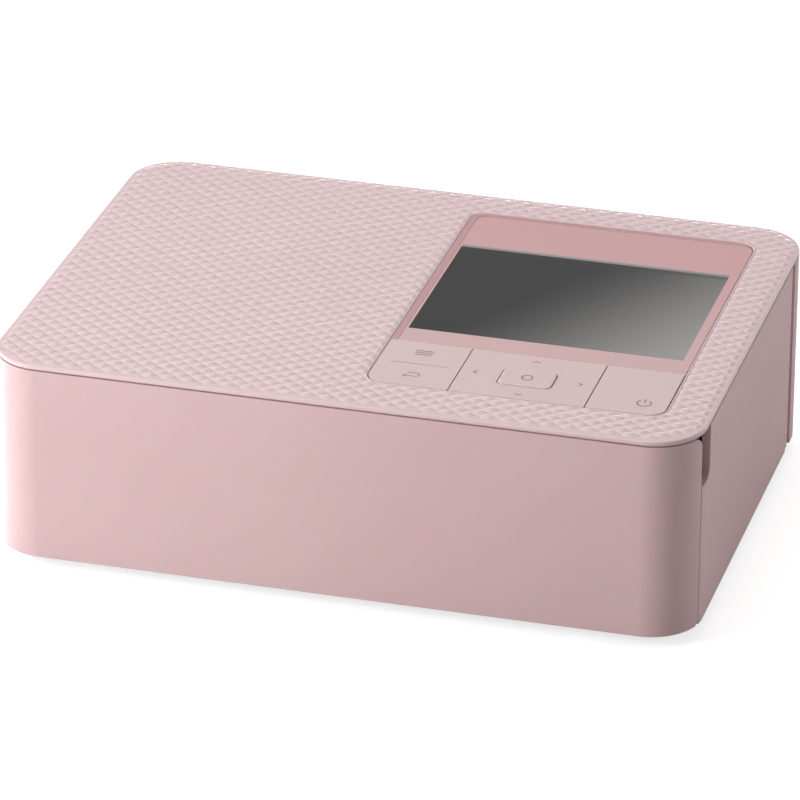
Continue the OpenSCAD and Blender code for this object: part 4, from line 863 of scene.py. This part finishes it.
def ground_aluminium():
    """Ground aluminium: grey, with the wheel's lines, 0.24 mm apart, along the head."""
    material = blank_material("ground_aluminium")
    tree = material.node_tree
    place = add(tree, "ShaderNodeTexCoord").outputs["Object"]
    longer = add(tree, "ShaderNodeVectorMath", {0: place, 1: LINE_STRETCH}, operation="MULTIPLY")
    lines = add(tree, "ShaderNodeTexNoise", {
        "Vector": longer.outputs[0], "Scale": 1 / LINE_L, "Detail": 3.0})
    tint = add(tree, "ShaderNodeMix", {
        0: lines.outputs[0], 6: linear(HEAD_GREY[0]), 7: linear(HEAD_GREY[1])}, data_type="RGBA")
    polish = add(tree, "ShaderNodeMapRange", {
        0: lines.outputs[0], 3: HEAD_ROUGH[0], 4: HEAD_ROUGH[1]})
    relief = add(tree, "ShaderNodeBump", {
        "Strength": 0.08, "Distance": 0.01 * MM, "Height": lines.outputs[0]})
    body = add(tree, "ShaderNodeBsdfPrincipled", {
        "Base Color": tint.outputs[2], "Metallic": 1.0, "Roughness": polish.outputs[0],
        "Normal": relief.outputs[0]})
    add(tree, "ShaderNodeOutputMaterial", {0: body.outputs[0]})
    return material


finish(["ink_ribbon"], dye_film())
finish(["supply_spool"], moulded("wound_film", DYE_ROLL, rough=0.22, grain=0.02, ior=1.6))
finish(["thermal_head"], ground_aluminium())

# Circuit boards: green solder mask over copper tracks, and black moulded chips on the
# main board, told apart by height. The tracks are a faint grid under the mask.
MASK_GREEN = ("#1f5a39", "#23603d")
PLAIN_GREEN = ("#1f5a39", "#1b5033")
TRACK_GREEN = "#2c7249"
CHIP_BLACK = "#1b1c1e"
CHIPS_FROM = 44.55 * MM
TRACK_STEP = 1.6 * MM
TRACK_W = 0.14 * TRACK_STEP
MASK_ROUGH = (0.24, 0.36)
MASK_CLOUD_W = 8.33 * MM


def board_face():
    """Solder mask: glossy green, with the tracks a little raised, and dull black chips."""
    material = blank_material("solder_masked_board")
    tree = material.node_tree
    place = add(tree, "ShaderNodeTexCoord").outputs["Object"]
    axes = add(tree, "ShaderNodeSeparateXYZ", {0: place})
    net = add(tree, "ShaderNodeTexBrick", {
        "Vector": place, "Scale": 1.0, "Brick Width": 4 * TRACK_STEP, "Row Height": TRACK_STEP,
        "Mortar Size": TRACK_W, "Color1": linear(MASK_GREEN[0]),
        "Color2": linear(MASK_GREEN[1]), "Mortar": linear(TRACK_GREEN)})
    chip = add(tree, "ShaderNodeMath", {
        0: axes.outputs[2], 1: CHIPS_FROM}, operation="GREATER_THAN")
    tint = add(tree, "ShaderNodeMix", {
        0: chip.outputs[0], 6: net.outputs[0], 7: linear(CHIP_BLACK)}, data_type="RGBA")
    cloud = add(tree, "ShaderNodeTexNoise", {"Vector": place, "Scale": 1 / MASK_CLOUD_W})
    film = add(tree, "ShaderNodeMapRange", {
        0: cloud.outputs[0], 3: MASK_ROUGH[0], 4: MASK_ROUGH[1]})
    relief = add(tree, "ShaderNodeBump", {
        "Strength": 0.2, "Distance": 0.03 * MM, "Height": net.outputs["Fac"]})
    body = add(tree, "ShaderNodeBsdfPrincipled", {
        "Base Color": tint.outputs[2], "Roughness": film.outputs[0], "IOR": 1.52,
        "Normal": relief.outputs[0]})
    add(tree, "ShaderNodeOutputMaterial", {0: body.outputs[0]})
    return material


finish(["main_board"], board_face())
finish(["control_board"], moulded("plain_solder_mask", PLAIN_GREEN, rough=0.3, grain=0.03))

# Screws: zinc-plated pan heads with a cross recess. Four come up through the base, with
# their heads down, and two hold the main board. One node tree makes a screw per point.
SCREW_SIDES = 32
SHANK_R = 1.2 * MM
HEAD_R = 2.4 * MM
BASE_HEAD_H = 1.3 * MM
BOARD_HEAD_H = 1.2 * MM
# The recess is cut by two crossed bars, centred on the head's face, so a bar of 1.1
# times the head's height goes a little over half way through it.
RECESS_W = 0.5 * MM
RECESS_SHARE = 0.62
RECESS_BAR = 1.1


def screw_tree():
    """Head, shank and cross recess, set on each point of the mesh and made real."""
    group = bpy.data.node_groups.new("cross_recess_screws", "GeometryNodeTree")
    face = group.interface
    face.new_socket("Geometry", in_out="INPUT", socket_type="NodeSocketGeometry")
    for name in ("Head radius", "Head height", "Shank radius", "Shank length", "Recess width",
                 "Side"):
        face.new_socket(name, in_out="INPUT", socket_type="NodeSocketFloat")
    face.new_socket("Metal", in_out="INPUT", socket_type="NodeSocketMaterial")
    face.new_socket("Geometry", in_out="OUTPUT", socket_type="NodeSocketGeometry")
    take = group.nodes.new("NodeGroupInput").outputs

    def raised(mesh, size, share):
        """A mesh moved up by a share of one of the sizes."""
        rise = add(group, "ShaderNodeMath", {0: size, 1: share}, operation="MULTIPLY")
        way = add(group, "ShaderNodeCombineXYZ", {2: rise.outputs[0]})
        moved = {"Geometry": mesh, "Translation": way.outputs[0]}
        return add(group, "GeometryNodeTransform", moved).outputs[0]

    head = add(group, "GeometryNodeMeshCylinder", {
        "Vertices": SCREW_SIDES, "Radius": take["Head radius"], "Depth": take["Head height"]})
    shank = add(group, "GeometryNodeMeshCylinder", {
        "Vertices": SCREW_SIDES, "Radius": take["Shank radius"], "Depth": take["Shank length"]})
    long = add(group, "ShaderNodeMath", {
        0: take["Head radius"], 1: 2 * RECESS_SHARE}, operation="MULTIPLY")
    tall = add(group, "ShaderNodeMath", {
        0: take["Head height"], 1: RECESS_BAR}, operation="MULTIPLY")
    across = {0: long.outputs[0], 1: take["Recess width"], 2: tall.outputs[0]}
    along = {0: take["Recess width"], 1: long.outputs[0], 2: tall.outputs[0]}
    cut = head.outputs["Mesh"]
    for sides in (across, along):
        size = add(group, "ShaderNodeCombineXYZ", sides)
        bar = add(group, "GeometryNodeMeshCube", {"Size": size.outputs[0]})
        lifted = raised(bar.outputs["Mesh"], take["Head height"], 0.5)
        cutter = add(group, "GeometryNodeMeshBoolean", {
            "Mesh 1": cut, "Mesh 2": lifted}, operation="DIFFERENCE")
        cut = cutter.outputs[0]
    both = add(group, "GeometryNodeJoinGeometry")
    group.links.new(raised(cut, take["Head height"], 0.5), both.inputs[0])
    group.links.new(raised(shank.outputs["Mesh"], take["Shank length"], -0.5), both.inputs[0])
    flat = add(group, "GeometryNodeSetShadeSmooth", {
        "Geometry": both.outputs[0], "Shade Smooth": False})
    turn = add(group, "ShaderNodeCombineXYZ", {0: take["Side"]})
    rows = add(group, "GeometryNodeInstanceOnPoints", {
        "Points": take["Geometry"], "Instance": flat.outputs[0], "Rotation": turn.outputs[0]})
    real = add(group, "GeometryNodeRealizeInstances", {0: rows.outputs[0]})
    done = add(group, "GeometryNodeSetMaterial", {
        "Geometry": real.outputs[0], "Material": take["Metal"]})
    out = group.nodes.new("NodeGroupOutput")
    group.links.new(done.outputs[0], out.inputs[0])
    return group


def centres_of(node, reach):
    """Middle of each separate screw of a node, from corners that lie close together."""
    groups = []
    for spot in (v.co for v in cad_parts[node].data.vertices):
        near = [g for g in groups if (g[0].xy - spot.xy).length < reach]
        if near:
            near[0].append(spot)
        else:
            groups.append([spot])
    return [((min(p.x for p in g) + max(p.x for p in g)) / 2,
             (min(p.y for p in g) + max(p.y for p in g)) / 2) for g in groups]


def screws(node, name, tree, metal, heads_down, head_h):
    """The screws of a node, made again in the same places with their cross recess."""
    low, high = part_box(node)
    z = low[2] + head_h if heads_down else high[2] - head_h
    mesh = bpy.data.meshes.new(name)
    mesh.from_pydata([(x, y, z) for x, y in centres_of(node, 3 * HEAD_R)], [], [])
    blank = bpy.data.objects.new(name, mesh)
    bpy.context.collection.objects.link(blank)
    maker = blank.modifiers.new("screws", "NODES")
    maker.node_group = tree
    values = {"Head radius": HEAD_R, "Head height": head_h, "Shank radius": SHANK_R,
              "Shank length": high[2] - low[2] - head_h, "Recess width": RECESS_W,
              "Side": math.pi if heads_down else 0.0, "Metal": metal}
    for item in tree.interface.items_tree:
        if item.in_out == "INPUT" and item.name in values:
            maker[item.identifier] = values[item.name]
    piece = mesh_piece(name, plain_mesh(blank), metal, "root")
    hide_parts(node)


screw_metal = zinc_plate("zinc_plated_screws")
screw_maker = screw_tree()
screws("case_screws", "base_screws", screw_maker, screw_metal, True, BASE_HEAD_H)
screws("board_screws", "main_board_screws", screw_maker, screw_metal, False, BOARD_HEAD_H)
